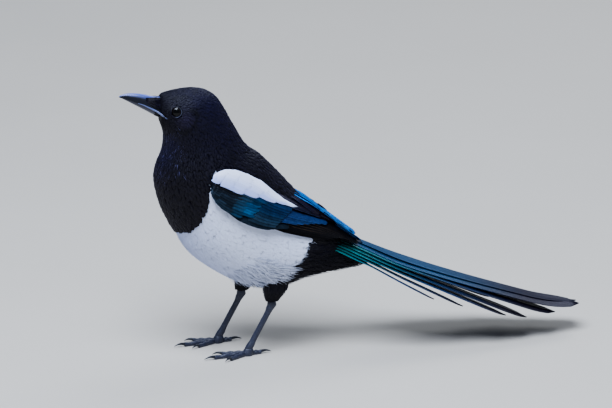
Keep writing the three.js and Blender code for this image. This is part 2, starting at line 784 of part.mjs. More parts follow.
function buildShank({ side, heel, ball: [ballX, ballY] }) {
  const rings = [];
  const steps = 9;
  for (let k = 0; k <= steps; k += 1) {
    const t = k / steps;
    const z = mix(thighFoot - seam, footTop + seam, t);
    const down = clamp((heel[2] - z) / (heel[2] - footTop), 0, 1);
    const knob = 1 + 0.42 * Math.exp(-((z - heel[2]) ** 2) / 14) + 0.3 * Math.exp(-((z - 8) ** 2) / 12);
    const x = mix(heel[0], ballX + 1.6, down);
    const y = side * mix(heel[1], ballY, down);
    rings.push(ovalRing(x, y, z, 2.75 * knob, 2.1 * knob, 10));
  }
  return loft(rings);
}

// A toe lies along its way from the ball of the foot, flat under its pads
function toeRing(start, way, distance, reach, height, lift) {
  const across = point(-way.y, way.x, 0);
  const centre = start.clone().addScaledVector(way, distance);
  const section = [
    [-0.6, 0],
    [0.6, 0],
    [1, 0.45],
    [0.62, 0.9],
    [0, 1.04],
    [-0.62, 0.9],
    [-1, 0.45],
  ];
  return section.map(([s, h]) => centre.clone().addScaledVector(across, s * reach).setZ(lift + h * height));
}

function toeWay({ side, turn }, { angle }) {
  const heading = THREE.MathUtils.degToRad(turn + angle);
  return point(-Math.cos(heading), side * Math.sin(heading), 0);
}

function buildToe(leg, toe) {
  const start = point(leg.ball[0], leg.side * leg.ball[1], 0);
  const way = toeWay(leg, toe);
  const rings = [];
  const steps = 6;
  for (let k = 0; k <= steps; k += 1) {
    const t = k / steps;
    const joint = 1 + 0.13 * Math.cos(t * 2 * Math.PI * 3);
    const slim = mix(1, 0.74, t);
    const reach = toe.radius * slim * joint;
    const height = toeHeight * slim * mix(1, joint, 0.6);
    rings.push(toeRing(start, way, t * toe.length, reach, height, soleLevel));
  }
  return loft(rings);
}

function buildClaw(leg, toe) {
  const start = point(leg.ball[0], leg.side * leg.ball[1], 0);
  const way = toeWay(leg, toe);
  const across = point(-way.y, way.x, 0);
  const rings = [];
  const steps = 4;
  const clawSides = 5;
  for (let k = 0; k <= steps; k += 1) {
    const t = k / steps;
    const distance = toe.length + seam + toe.claw * t;
    const height = 1.75 + 1.5 * Math.sin(Math.PI * Math.min(t * 0.9, 1)) - 1.2 * t;
    const reach = mix(1.25, 0.22, t);
    const ring = [];
    for (let c = 0; c < clawSides; c += 1) {
      const turn = (2 * Math.PI * c) / clawSides;
      const p = start.clone().addScaledVector(way, distance);
      p.addScaledVector(across, 0.8 * reach * Math.cos(turn));
      ring.push(p.setZ(Math.max(height + reach * Math.sin(turn), soleLevel + 0.1)));
    }
    rings.push(ring);
  }
  return loft(rings);
}

function buildFoot(leg) {
  const [x, y] = leg.ball;
  const ball = loft([
    ovalRing(x + 0.4, leg.side * y, soleLevel, 4.2, 3.6, 12),
    ovalRing(x + 0.6, leg.side * y, 2.2, 4.6, 4, 12),
    ovalRing(x + 1.2, leg.side * y, 4.4, 4.2, 3.6, 12),
    ovalRing(x + 1.6, leg.side * y, footTop, 3.4, 2.8, 12),
  ]);
  return toGeometry(largest(joined([ball, ...toes.map((toe) => buildToe(leg, toe))].map(toSolid))));
}

for (const [name, leg] of Object.entries(legs)) {
  addNode(`thigh_${name}`, buildThigh(leg), blackPlumage);
  addNode(`shank_${name}`, buildShank(leg), legSkin);
  addNode(`foot_${name}`, buildFoot(leg), legSkin);
  for (const toe of toes) addNode(`claw_${name}_${toe.name}`, buildClaw(leg, toe), horn);
}

// The origin goes under the middle of the whole bird
const box = new THREE.Box3().setFromObject(bird);
const middle = box.getCenter(point(0, 0, 0));
bird.position.set(-middle.x, -middle.y, -box.min.z);

export default bird;
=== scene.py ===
# %% [markdown]
# # A Eurasian magpie on a plain floor
# The bird is about 39 cm long from bill to tail tip and stands still, as a museum model does.
# The solids of the measured model are loaded first. Everything here is made round them, at the
# same place and size, and takes the place of the solids in the picture: one skin, a coat of
# many thousand small feathers, and the long feathers of the wings and the tail one by one.

# %% Load the measured model
import math

import bmesh
import bpy
import numpy as np
from mathutils import Matrix, Vector


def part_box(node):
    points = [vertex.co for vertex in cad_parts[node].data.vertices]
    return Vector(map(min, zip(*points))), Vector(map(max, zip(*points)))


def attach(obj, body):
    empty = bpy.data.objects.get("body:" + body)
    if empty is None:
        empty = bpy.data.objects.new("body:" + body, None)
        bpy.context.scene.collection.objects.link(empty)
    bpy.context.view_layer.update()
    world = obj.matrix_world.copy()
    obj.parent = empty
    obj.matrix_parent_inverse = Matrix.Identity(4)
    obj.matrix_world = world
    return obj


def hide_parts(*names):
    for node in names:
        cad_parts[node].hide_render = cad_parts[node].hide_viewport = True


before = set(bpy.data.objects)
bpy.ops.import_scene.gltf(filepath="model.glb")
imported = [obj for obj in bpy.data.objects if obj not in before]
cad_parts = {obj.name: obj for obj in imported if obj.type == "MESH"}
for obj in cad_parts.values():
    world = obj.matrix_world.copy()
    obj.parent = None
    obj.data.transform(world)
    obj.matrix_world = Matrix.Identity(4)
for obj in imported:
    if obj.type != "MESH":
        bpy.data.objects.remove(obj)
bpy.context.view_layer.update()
MM = 0.001
BILL_TIP_X = -94.6  # the bird's own millimetres have X = 0 between the feet
SHIFT_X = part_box("bill_upper")[0][0] - BILL_TIP_X * MM


def placed(points):
    """Points in the bird's own millimetres as metres in the frame."""
    spots = np.asarray(points, dtype=float) * MM
    return spots + np.array([SHIFT_X, 0.0, 0.0])


# %% [markdown]
# The picture was taken with a long lens from a little above, with the bird's left side turned
# to it. A long lens draws near and far parts at one scale, so the camera stands twelve metres
# away with a narrow view. Its aim comes from one point: the floor between the feet, which lies
# at a known pixel, and the number of pixels that one millimetre takes.

# %% Camera
PICTURE_SIZE = (612, 408)
PIXELS_PER_MM = 1.2
FEET_PIXEL = (231, 349)
AZIMUTH = math.radians(-12)
ELEVATION = math.radians(17)
CAMERA_DISTANCE = 12.0
SENSOR_WIDTH = 36.0

right = Vector((math.cos(AZIMUTH), math.sin(AZIMUTH), 0))
forward = Vector((
    -math.sin(AZIMUTH) * math.cos(ELEVATION),
    math.cos(AZIMUTH) * math.cos(ELEVATION),
    -math.sin(ELEVATION),
))
upward = right.cross(forward)
aside = (PICTURE_SIZE[0] / 2 - FEET_PIXEL[0]) / PIXELS_PER_MM * MM
above = (FEET_PIXEL[1] - PICTURE_SIZE[1] / 2) / PIXELS_PER_MM * MM
aim = Vector((SHIFT_X, 0, 0)) + right * aside + upward * above
view_width = PICTURE_SIZE[0] / PIXELS_PER_MM * MM
camera_data = bpy.data.cameras.new("camera")
camera_data.sensor_width = SENSOR_WIDTH
camera_data.lens = SENSOR_WIDTH * CAMERA_DISTANCE / view_width
camera = bpy.data.objects.new("camera", camera_data)
camera.location = aim - forward * CAMERA_DISTANCE
camera.rotation_euler = forward.to_track_quat("-Z", "Y").to_euler()
bpy.context.collection.objects.link(camera)
bpy.context.scene.camera = camera
print("lens", round(camera_data.lens, 1), "mm")

# %% [markdown]
# ## Materials
# Every finish here is made from a few nodes. A feather's colour is stored on its own points as
# an attribute named tone, since one feather changes colour along and across its vane. The nodes
# then add what is too fine for points: barbs as thin slanting lines, and a slow change of shade.

# %% Node helpers
def new_material(name, **settings):
    """A material with a Principled shader whose plain sockets are set by name."""
    material = bpy.data.materials.new(name)
    material.use_nodes = True
    shader = material.node_tree.nodes["Principled BSDF"]
    for socket, value in settings.items():
        shader.inputs[socket.replace("_", " ")].default_value = value
    return material, shader


def add_node(material, kind, inputs=(), **settings):
    """A node with its settings, and its inputs as numbers or as other nodes' outputs."""
    node = material.node_tree.nodes.new(kind)
    for key, value in settings.items():
        setattr(node, key, value)
    for socket, value in dict(inputs).items():
        if isinstance(value, bpy.types.NodeSocket):
            material.node_tree.links.new(value, node.inputs[socket])
        else:
            node.inputs[socket].default_value = value
    return node


def link(material, output, shader, socket):
    material.node_tree.links.new(output, shader.inputs[socket])


def object_noise(material, scale, detail=3.0, stretch=(1, 1, 1)):
    """Noise on the object's own coordinates, in metres, stretched along an axis."""
    spot = add_node(material, "ShaderNodeTexCoord").outputs["Object"]
    turned = add_node(material, "ShaderNodeMapping", {"Vector": spot, "Scale": stretch})
    inputs = {"Vector": turned.outputs["Vector"], "Scale": scale, "Detail": detail}
    return add_node(material, "ShaderNodeTexNoise", inputs).outputs["Fac"]


def ranged(material, value, low, high):
    """A 0 to 1 value brought between two others."""
    inputs = {"Value": value, "To Min": low, "To Max": high}
    return add_node(material, "ShaderNodeMapRange", inputs).outputs["Result"]


def bumped(material, shader, height, distance, strength=1.0):
    inputs = {"Height": height, "Distance": distance, "Strength": strength}
    bump = add_node(material, "ShaderNodeBump", inputs)
    link(material, bump.outputs["Normal"], shader, "Normal")


def arithmetic(material, operation, *values):
    """The result of a Math node on one or two values."""
    return add_node(material, "ShaderNodeMath", dict(enumerate(values)), operation=operation).outputs[0]


def mixed(material, share, low, high):
    """A colour between two others."""
    inputs = {"Factor": share, "A": (*low, 1), "B": (*high, 1)}
    return add_node(material, "ShaderNodeMix", inputs, data_type="RGBA").outputs["Result"]


def stored_tone(material):
    """The colour kept on a piece's own points."""
    return add_node(material, "ShaderNodeAttribute", attribute_name="tone").outputs["Color"]


def tinted(material, value, colour):
    """A colour made lighter or darker by a value."""
    scaled = add_node(material, "ShaderNodeVectorMath", {0: colour}, operation="SCALE")
    material.node_tree.links.new(value, scaled.inputs["Scale"])
    return scaled.outputs["Vector"]


# %% Plumage materials
BARB_SLANT = 1.3  # how far a barb runs on for each millimetre from the shaft


def barb_lines(material, spacing):
    """Thin ridges from the shaft outward and on: 0 in a groove, 1 on a barb."""
    vane = add_node(material, "ShaderNodeUVMap", uv_map="Vane").outputs["UV"]
    parts = add_node(material, "ShaderNodeSeparateXYZ", {"Vector": vane})
    away = arithmetic(material, "ABSOLUTE", parts.outputs["X"])
    slant = arithmetic(material, "MULTIPLY", away, BARB_SLANT)
    run = arithmetic(material, "SUBTRACT", parts.outputs["Y"], slant)
    line = arithmetic(material, "SINE", arithmetic(material, "MULTIPLY", run, 2 * math.pi / spacing))
    return add_node(material, "ShaderNodeMapRange", {"Value": line, "From Min": -1.0}).outputs["Result"]


def feather_material(name, barbs, barb_height, spacing, patches, **settings):
    """Plumage whose colour is its tone attribute, broken by patches of shade and by barbs."""
    material, shader = new_material(name, **settings)
    scale, low, high = patches
    broad = ranged(material, object_noise(material, scale), low, high)
    fine = object_noise(material, 1400.0, stretch=(0.35, 1, 1))
    lines = barb_lines(material, spacing)
    shade = arithmetic(material, "MULTIPLY", broad, ranged(material, lines, 1.0 - barbs, 1.0 + barbs))
    link(material, tinted(material, shade, stored_tone(material)), shader, "Base Color")
    bumped(material, shader, arithmetic(material, "ADD", lines, fine), barb_height)
    return material


black_feathers = feather_material(
    "black_feathers", 0.12, 0.00005, 1.3, (140.0, 0.55, 1.45), Roughness=0.5, Specular_IOR_Level=0.24,
    Sheen_Weight=0.05, Sheen_Roughness=0.4, Sheen_Tint=(0.35, 0.3, 0.95, 1),
)
white_feathers = feather_material(
    "white_feathers", 0.0, 0.00001, 1.3, (60.0, 0.93, 1.07), Roughness=0.8, Specular_IOR_Level=0.2,
    Sheen_Weight=0.15, Sheen_Roughness=0.6, Sheen_Tint=(0.85, 0.9, 1, 1),
)
wing_feathers = feather_material(
    "wing_feathers", 0.14, 0.00006, 1.2, (260.0, 0.35, 1.65), Roughness=0.38, Metallic=0.3,
    Specular_IOR_Level=0.25,
)
tail_feathers = feather_material(
    "tail_feathers", 0.1, 0.00005, 1.4, (120.0, 0.7, 1.3), Roughness=0.36, Metallic=0.3,
    Specular_IOR_Level=0.25,
)

BLACK = np.array((0.0066, 0.0057, 0.0098))
BLUE_BLACK = np.array((0.0068, 0.0058, 0.023))
VIOLET_BLACK = np.array((0.022, 0.017, 0.038))
STREAK = np.array((0.09, 0.088, 0.19))
# WHITE is tinted blue: painted blue skylight on the white feathers.
WHITE = np.array((0.76, 0.82, 1.0))
# painted shade of the belly's underside, toward its middle
WHITE_PAINTED_SHADE = np.array((0.47, 0.53, 0.76))
# painted shade along the lower edge of the white scapulars
SCAPULAR_PAINTED_SHADE = np.array((0.40, 0.48, 0.84))
GREEN_BLACK = np.array((0.016, 0.034, 0.055))
TEAL = np.array((0.003, 0.10, 0.23))
DEEP_BLUE = np.array((0.004, 0.026, 0.064))
SECONDARY_BLUE = np.array((0.018, 0.037, 0.11))
AZURE = np.array((0.005, 0.21, 0.62))
BROWN_BLACK = np.array((0.008, 0.007, 0.008))
BRONZE = np.array((0.045, 0.026, 0.018))
PALE_EDGE = np.array((0.14, 0.10, 0.07))
PALE_BLUE = np.array((0.05, 0.11, 0.25))
TAIL_TEAL = np.array((0.007, 0.062, 0.14))
TAIL_GREEN = np.array((0.008, 0.15, 0.15))
TAIL_BLUE = np.array((0.012, 0.046, 0.13))
TAIL_VIOLET = np.array((0.012, 0.009, 0.024))


def shades(colour, other, share):
    """A mix of two colours by a share from 0 to 1, for each point."""
    return colour + (other - colour) * np.clip(share, 0, 1)[..., None]


def where(chosen, colour, other):
    """One colour at the chosen points and another at the rest."""
    return np.where(chosen[..., None], colour, other)


plumage = (black_feathers, white_feathers, wing_feathers, tail_feathers)
print("plumage materials", [material.name for material in plumage])

# %% [markdown]
# ## The body's surface
# The solids were drawn from a side view: at each station there is a point on the back, a point
# on the throat or belly, and a half width. The same stations are read here. A place on the body
# is then two numbers, the station and the turn round the section, and a feather can be laid
# along the body by walking in those two numbers.

# %% Stations
# back x and z, belly x and z, half width
STATIONS = np.array([
    (-60.3, 225, -60.8, 204, 9.5),
    (-54, 226.5, -59.6, 200.5, 13.8),
    (-44, 228, -58.2, 197, 17.2),
    (-33, 228.5, -57.2, 193.5, 19.3),
    (-22, 226.5, -56.6, 190, 20.6),
    (-13, 220.5, -56.6, 185.5, 21.4),
    (-6.6, 210.8, -57.2, 179.5, 22.2),
    (-1, 200, -59.3, 171.5, 23.5),
    (4, 191, -63, 163, 25.5),
    (8.5, 182.5, -64.5, 152.5, 28.5),
    (14.5, 174.8, -62.5, 140, 31.5),
    (24, 168, -57.5, 125, 34),
    (36, 155.5, -49, 108.5, 35.5),
    (48, 142, -36, 88, 36),
    (60, 128, -14, 70.5, 34.5),
    (71, 115.5, 9, 58.5, 32),
    (82, 104.5, 33, 54.8, 27.5),
    (92, 96, 57, 61, 18.5),
    (101, 90, 80, 65, 13.5),
    (110, 84.5, 101, 67.5, 9.5),
    (117, 79.5, 112, 69.5, 6.5),
    (122, 76.5, 120, 73, 3),
])
LAST_STATION = len(STATIONS) - 1
NECK_STATION = 4.6


def through(rows, place):
    """A smooth curve through rows of numbers, read at fractional row numbers."""
    place = np.asarray(place, dtype=float)
    last = len(rows) - 1
    i = np.clip(np.floor(place).astype(int), 0, last - 1)
    f = (place - i)[..., None]
    p, q, r, e = (rows[np.clip(i + k, 0, last)] for k in (-1, 0, 1, 2))
    bend = 2 * p - 5 * q + 4 * r - e
    twist = 3 * q - p - 3 * r + e
    return 0.5 * (2 * q + (r - p) * f + bend * f**2 + twist * f**3)


def body(s, turn, grow=0.0):
    """A point of the body, at a station and a turn from the back (0) by the right side."""
    back_x, back_z, belly_x, belly_z, half = np.moveaxis(through(STATIONS, s), -1, 0)
    reach = np.hypot(belly_x - back_x, belly_z - back_z) / 2
    down = 0.5 - 0.5 * np.cos(turn) * (reach + grow) / reach
    x = back_x + (belly_x - back_x) * down
    z = back_z + (belly_z - back_z) * down
    return np.stack([x, np.sin(turn) * (half + grow), z], axis=-1)


def unit(vectors):
    return vectors / np.maximum(np.linalg.norm(vectors, axis=-1, keepdims=True), 1e-9)


def body_frame(s, turn):
    """Rates along and round the body, the slant between the two ways, and the normal."""
    step = 0.02
    ahead = (body(s + step, turn) - body(s - step, turn)) / (2 * step)
    around = (body(s, turn + step) - body(s, turn - step)) / (2 * step)
    rate_ahead = np.linalg.norm(ahead, axis=-1)
    rate_around = np.linalg.norm(around, axis=-1)
    cosine = (unit(ahead) * unit(around)).sum(axis=-1)
    return rate_ahead, rate_around, cosine, unit(np.cross(ahead, around))


def walk(s, turn, ahead, aside):
    """The place reached after so many millimetres along and across the body."""
    rate_ahead, rate_around, cosine, _ = body_frame(s, turn)
    sine = np.sqrt(1 - np.clip(cosine, -0.95, 0.95) ** 2)
    s_end = s + (ahead - aside * cosine / sine) / np.maximum(rate_ahead, 1.0)
    return np.clip(s_end, -0.3, LAST_STATION), turn + aside / sine / np.maximum(rate_around, 1.0)


lengths = np.linalg.norm(np.diff(body(np.linspace(0, LAST_STATION, 200), 0.0), axis=0), axis=1)
print("back line", round(float(lengths.sum())), "mm")

# %% [markdown]
# ## One skin
# The skin is what is left when the feathers are parted, so it lies a little inside the solids,
# by the depth of the coat: under a millimetre on the face and about two on the belly. It starts
# as a unit tube with many rings, and each point of the tube is sent to its place on the body.
# The thighs are tubes as well. The three are joined by a Boolean so that no seam shows.

# %% Tubes
def unit_tube(sides, rings):
    """A closed tube of radius 1 from z = 0 to z = 1, with its length cut into rings."""
    bm = bmesh.new()
    bmesh.ops.create_cone(
        bm, cap_ends=True, segments=sides, radius1=1, radius2=1, depth=1,
        matrix=Matrix.Translation((0, 0, 0.5)),
    )
    lengthwise = [e for e in bm.edges if abs(e.verts[0].co.z - e.verts[1].co.z) > 0.5]
    bmesh.ops.subdivide_edges(bm, edges=lengthwise, cuts=rings - 1)
    return bm


def shape(bm, surface):
    """Sends each point of a unit tube to surface(share of the length, turn), in metres."""
    share = np.array([v.co.z for v in bm.verts])
    turn = np.array([math.atan2(v.co.y, v.co.x) for v in bm.verts]) % (2 * math.pi)
    for vert, spot in zip(bm.verts, placed(surface(share, turn))):
        vert.co = spot
    bmesh.ops.recalc_face_normals(bm, faces=bm.faces)
    if bm.calc_volume(signed=True) < 0:
        bmesh.ops.reverse_faces(bm, faces=bm.faces)
    return bm


def add_object(name, mesh, material, replaced=()):
    """A finished piece at the origin, which rides on the bird."""
    piece = bpy.data.objects.new(name, mesh)
    bpy.context.collection.objects.link(piece)
    mesh.materials.clear()
    mesh.materials.append(material)
    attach(piece, "root")
    if replaced:
        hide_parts(*replaced)
    return piece


def mesh_from(bm, name, sharp_angle=None):
    mesh = bpy.data.meshes.new(name)
    bm.to_mesh(mesh)
    bm.free()
    mesh.shade_smooth()
    if sharp_angle:
        mesh.set_sharp_from_angle(angle=math.radians(sharp_angle))
    return mesh


# %% Overlapping tubes made one
def union_mesh(bms, name):
    """One closed mesh from several overlapping ones."""
    base = bpy.data.objects.new(name, mesh_from(bms[0], name))
    bpy.context.collection.objects.link(base)
    for bm in bms[1:]:
        helper = bpy.data.objects.new(name + "_helper", mesh_from(bm, name + "_helper"))
        bpy.context.collection.objects.link(helper)
        join = base.modifiers.new("join", "BOOLEAN")
        join.operation = "UNION"
        join.solver = "EXACT"
        join.object = helper
        baked = bpy.data.meshes.new_from_object(base.evaluated_get(bpy.context.evaluated_depsgraph_get()))
        base.modifiers.clear()
        base.data = baked
        bpy.data.objects.remove(helper)
    mesh = base.data
    bpy.data.objects.remove(base)
    return mesh


# %% Depth of the coat
DEPTH_STOPS = np.array([(0, 0.5), (2, 0.8), (5, 1.3), (9, 1.8), (16, 2.2), (22, 1.4)])


def coat_depth(s):
    return np.interp(s, DEPTH_STOPS[:, 0], DEPTH_STOPS[:, 1])


FACE_ROUND = 0.035  # share of the skin's length that closes over the face


def skin_surface(share, turn):
    """The skin from the face to the tail, drawn in a little at its two ends."""
    s = share * LAST_STATION
    face = np.clip(1 - share / FACE_ROUND, 0, 1)
    depth = coat_depth(s) + 2.2 * face**2
    return body(s, turn, -depth)


# %% Thigh surface
LEGS = {
    "left": {"side": -1, "thigh": (33, 19, 54), "heel": (31, 18, 42), "ball": (9.4, 20), "turn": 11},
    "right": {"side": 1, "thigh": (16.5, 19, 54), "heel": (12.5, 18, 42), "ball": (-7.7, 20), "turn": -10},
}
THIGH_FOOT = 45.4  # height where the feathers of the thigh end


def thigh_rows(leg):
    """Middle x and y, height, and reach along x and y of the thigh's sections."""
    (x, y, z), (heel_x, heel_y, _), side = leg["thigh"], leg["heel"], leg["side"]
    return np.array([
        (x + 4, side * (y - 2), 74, 17, 11),
        (x + 2, side * (y - 1), 62, 13, 9.5),
        (x, side * y, z, 9.5, 8),
        (x + (heel_x - x) * 0.6, side * heel_y, 49, 6.8, 6),
        (heel_x, side * heel_y, THIGH_FOOT, 4.8, 4.4),
    ])


def thigh(leg, share, turn, grow=0.0):
    x, y, z, reach_x, reach_y = np.moveaxis(through(thigh_rows(leg), share * 4), -1, 0)
    return np.stack([x + (reach_x + grow) * np.cos(turn), y + (reach_y + grow) * np.sin(turn), z], axis=-1)


# %% Join the skin
SKIN_SIDES, SKIN_RINGS = 72, 150
THIGH_DEPTH = 1.6

skin_material, skin_shader = new_material("skin", Roughness=0.65, Specular_IOR_Level=0.2)
skin_shade = ranged(skin_material, object_noise(skin_material, 500.0), 0.7, 1.2)
link(skin_material, tinted(skin_material, skin_shade, stored_tone(skin_material)), skin_shader, "Base Color")
bumped(skin_material, skin_shader, object_noise(skin_material, 1800.0), 0.0002)

skin_tubes = [shape(unit_tube(SKIN_SIDES, SKIN_RINGS), skin_surface)] + [
    shape(unit_tube(24, 20), lambda share, turn: thigh(leg, share, turn, -THIGH_DEPTH))
    for leg in LEGS.values()
]
skin = add_object(
    "skin", union_mesh(skin_tubes, "skin"), skin_material,
    ("head", "neck", "torso", "thigh_left", "thigh_right"),
)
print("skin faces", len(skin.data.polygons))

# %% [markdown]
# ## Markings
# The magpie is black with a white belly and white shoulders. The black bib ends in an oblique
# line from the shoulder down to the breast, and the white of the belly ends again in front of
# the vent. Both lines are given as stations at a few angles from the belly's middle, and one
# function says whether a place is white. The skin and the coat both ask it, so they agree.

# %% White and black
BIB_ANGLES = np.array([0, 24, 38, 52, 64, 74, 82, 90, 100, 112, 125])
BIB_STATIONS = np.array([12.05, 12.08, 12.10, 11.93, 11.65, 11.2, 10.68, 10.12, 9.4, 10.4, 11.6])
VENT_ANGLES = np.array([0, 25, 41, 57, 82, 101, 116, 133])
VENT_STATIONS = np.array([15.2, 15.2, 15.35, 15.6, 15.7, 15.73, 15.5, 15.6])
FLANK_TOP = 128  # degrees from the belly where the white ends under the wing
LEG_TOP = 58  # height below which the skin is that of the black thighs


def belly_angle(turn):
    """Degrees from the middle of the belly, the same on both sides."""
    return np.abs((np.degrees(turn) % 360) - 180)


def is_white(s, turn):
    angle = belly_angle(turn)
    behind_bib = s > np.interp(angle, BIB_ANGLES, BIB_STATIONS)
    before_vent = s < np.interp(angle, VENT_ANGLES, VENT_STATIONS)
    return behind_bib & before_vent & (angle < FLANK_TOP)


# %% Colour the skin
PROBE_STATIONS, PROBE_DEGREES = 265, 3
probe_s = np.repeat(np.linspace(0, LAST_STATION, PROBE_STATIONS), 360 // PROBE_DEGREES)
probe_turn = np.tile(np.radians(np.arange(0, 360, PROBE_DEGREES)), PROBE_STATIONS)
probe_spots = placed(body(probe_s, probe_turn))


def store_tone(mesh, tones):
    """Writes one colour for each point under the name tone."""
    layer = mesh.color_attributes.new(name="tone", type="FLOAT_COLOR", domain="POINT")
    full = np.concatenate([tones, np.ones((len(tones), 1))], axis=1)
    layer.data.foreach_set("color", full.astype(np.float32).ravel())


def nearest_places(spots):
    """The station and turn nearest to each spot, by blocks of a few hundred."""
    found = np.empty(len(spots), dtype=int)
    for start in range(0, len(spots), 400):
        block = spots[start:start + 400, None, :]
        found[start:start + 400] = ((block - probe_spots[None]) ** 2).sum(axis=-1).argmin(axis=1)
    return probe_s[found], probe_turn[found]


skin_spots = np.empty(len(skin.data.vertices) * 3, dtype=np.float32)
skin.data.vertices.foreach_get("co", skin_spots)
skin_spots = skin_spots.reshape(-1, 3).astype(float)
skin_s, skin_turn = nearest_places(skin_spots)
white_skin = is_white(skin_s, skin_turn) & (skin_spots[:, 2] > LEG_TOP * MM)
store_tone(skin.data, where(white_skin, WHITE * 0.7, BLACK))
print("white share of the skin's points", round(float(white_skin.mean()), 2))

# %% [markdown]
# ## Small feathers
# A body feather is a short blade: narrow at the root, full in the middle and round at the tip,
# with a low ridge where its shaft runs. One blade starts as a three-sided cone, is cut across
# with bisecting planes, and is laid flat. Thousands of copies are then placed by arrays, each
# bent along the body, because that many objects or operator calls would take far too long.

# %% A blade to repeat
def blade_arrays(stops, widths, ridge=0.35):
    """Shares along and across and the height of a small blade's points, with its triangles."""
    bm = bmesh.new()
    bmesh.ops.create_cone(
        bm, cap_ends=True, segments=3, radius1=1, radius2=0, depth=1,
        matrix=Matrix.Translation((0, 0, 0.5)),
    )
    for stop in stops:
        geometry = bm.verts[:] + bm.edges[:] + bm.faces[:]
        bmesh.ops.bisect_plane(bm, geom=geometry, plane_co=(0, 0, stop), plane_no=(0, 0, 1))
    bmesh.ops.triangulate(bm, faces=bm.faces)
    along = np.array([v.co.z for v in bm.verts])
    cone = np.maximum(1 - along, 1e-6)
    corner = np.array([math.atan2(v.co.x, v.co.y) for v in bm.verts])  # 0 at the ridge's corner
    wide = np.interp(along, [0.0, *stops, 1.0], widths)
    is_ridge = np.abs(corner) < 0.5
    across = np.where(is_ridge, 0.0, np.sign(corner)) * wide
    across[cone < 1e-3] = 0.0
    high = np.where(is_ridge, ridge, 0.0) * wide
    high[cone < 1e-3] = 0.0
    triangles = np.array([[v.index for v in f.verts] for f in bm.faces])
    bm.free()
    return {"along": along, "across": across, "high": high, "triangles": triangles}


VANE = blade_arrays((0.25, 0.5, 0.75, 0.92), (0.35, 0.8, 1.0, 0.95, 0.6, 0.0))
LOCK = blade_arrays((0.35, 0.7), (0.6, 1.0, 0.7, 0.0), ridge=0.5)
print("triangles in a vane and a lock", len(VANE["triangles"]), len(LOCK["triangles"]))


# %% Turn arrays into a piece
def soften(mesh, normals, softness):
    """Turns the shading of each point toward the body's own normal, so that the coat looks soft."""
    own = np.empty(len(mesh.vertices) * 3, dtype=np.float32)
    mesh.vertex_normals.foreach_get("vector", own)
    mixed = unit(own.reshape(-1, 3) * (1 - softness) + normals * softness)
    mesh.normals_split_custom_set_from_vertices(mixed)


def joined_piece(name, blocks, material, replaced=(), softness=0.0):
    """One object from blocks of like feathers, with their colours and two UV maps."""
    points, corners, vane_uv, bake_uv, tones, normals = [], [], [], [], [], []
    offset = 0
    for block in blocks:
        count, size, _ = block["points"].shape
        starts = offset + size * np.arange(count)[:, None, None]
        corners.append((block["triangles"][None] + starts).reshape(-1))
        points.append(block["points"].reshape(-1, 3))
        vane_uv.append(block["vane_uv"].reshape(-1, 2))
        bake_uv.append(block["bake_uv"].reshape(-1, 2))
        tones.append(block["tones"].reshape(-1, 3))
        if softness:
            normals.append(block["normals"].reshape(-1, 3))
        offset += count * size
    corners = np.concatenate(corners)
    mesh = bpy.data.meshes.new(name)
    mesh.vertices.add(offset)
    mesh.vertices.foreach_set("co", placed(np.concatenate(points)).astype(np.float32).ravel())
    mesh.loops.add(len(corners))
    mesh.polygons.add(len(corners) // 3)
    mesh.polygons.foreach_set("loop_start", np.arange(0, len(corners), 3, dtype=np.int32))
    mesh.polygons.foreach_set("vertices", corners.astype(np.int32))
    for uv_name, maps in (("Vane", vane_uv), ("OFBake", bake_uv)):
        layer = mesh.uv_layers.new(name=uv_name, do_init=False)
        layer.uv.foreach_set("vector", np.concatenate(maps)[corners].astype(np.float32).ravel())
    mesh.update(calc_edges=True)
    mesh.shade_smooth()
    store_tone(mesh, np.concatenate(tones))
    if softness:
        soften(mesh, np.concatenate(normals), softness)
    piece = add_object(name, mesh, material, replaced)
    print(name, "feathers", sum(len(b["points"]) for b in blocks), "triangles", len(corners) // 3)
    return piece


# %% [markdown]
# ## The coat
# Feathers lie like shingles from the bill toward the tail. Roots are spread evenly over the skin
# by area: the surface is cut into small cells, the feathers wanted in each are added up in turn,
# and one is set each time the sum passes a whole number. From its root a feather walks along
# the body in short steps, so that it bends with it, and rises from the skin to the coat's top.

# %% Spread the roots
EYE_PLACE = np.array([-49.2, -16.4, 213.9])
EYE_AXIS = unit(np.array([-0.24, -1.0, 0.2]))
EYEBALL_RADIUS, EYE_DISC_RADIUS = 6.3, 4.3
CELL_STATION, CELL_TURN = 0.1, math.radians(2)
PATCH = 0.003  # size of a feather's patch on the bake map


def root_places(spacing, wanted, seed):
    """Stations and turns of roots, spacing(s, turn) millimetres apart, where wanted is true."""
    rng = np.random.default_rng(seed)
    s, turn = np.meshgrid(
        np.arange(0, LAST_STATION, CELL_STATION), np.arange(0, 2 * math.pi, CELL_TURN), indexing="ij",
    )
    s, turn = s.ravel() + CELL_STATION / 2, turn.ravel() + CELL_TURN / 2
    rate_ahead, rate_around, cosine, _ = body_frame(s, turn)
    area = rate_ahead * rate_around * np.sqrt(1 - cosine**2) * CELL_STATION * CELL_TURN
    share = np.cumsum(area / spacing(s, turn) ** 2 * wanted(s, turn))
    picks = np.searchsorted(share, np.arange(0.5, share[-1]))
    loose = rng.uniform(-0.5, 0.5, (2, len(picks)))
    return s[picks] + loose[0] * CELL_STATION, turn[picks] + loose[1] * CELL_TURN, rng


def small_block(blade, points, wide, run, root_uv, tones, normals):
    """Small feathers as a block, each with a patch of the bake map at its root's place."""
    patch = np.stack([blade["along"], 0.5 + 0.5 * blade["across"]], axis=-1) - 0.5
    return {
        "points": points, "triangles": blade["triangles"], "normals": normals,
        "vane_uv": np.stack([wide, run + 0 * wide], axis=-1),
        "bake_uv": root_uv[:, None] + patch * PATCH,
        "tones": np.broadcast_to(tones, points.shape),
    }


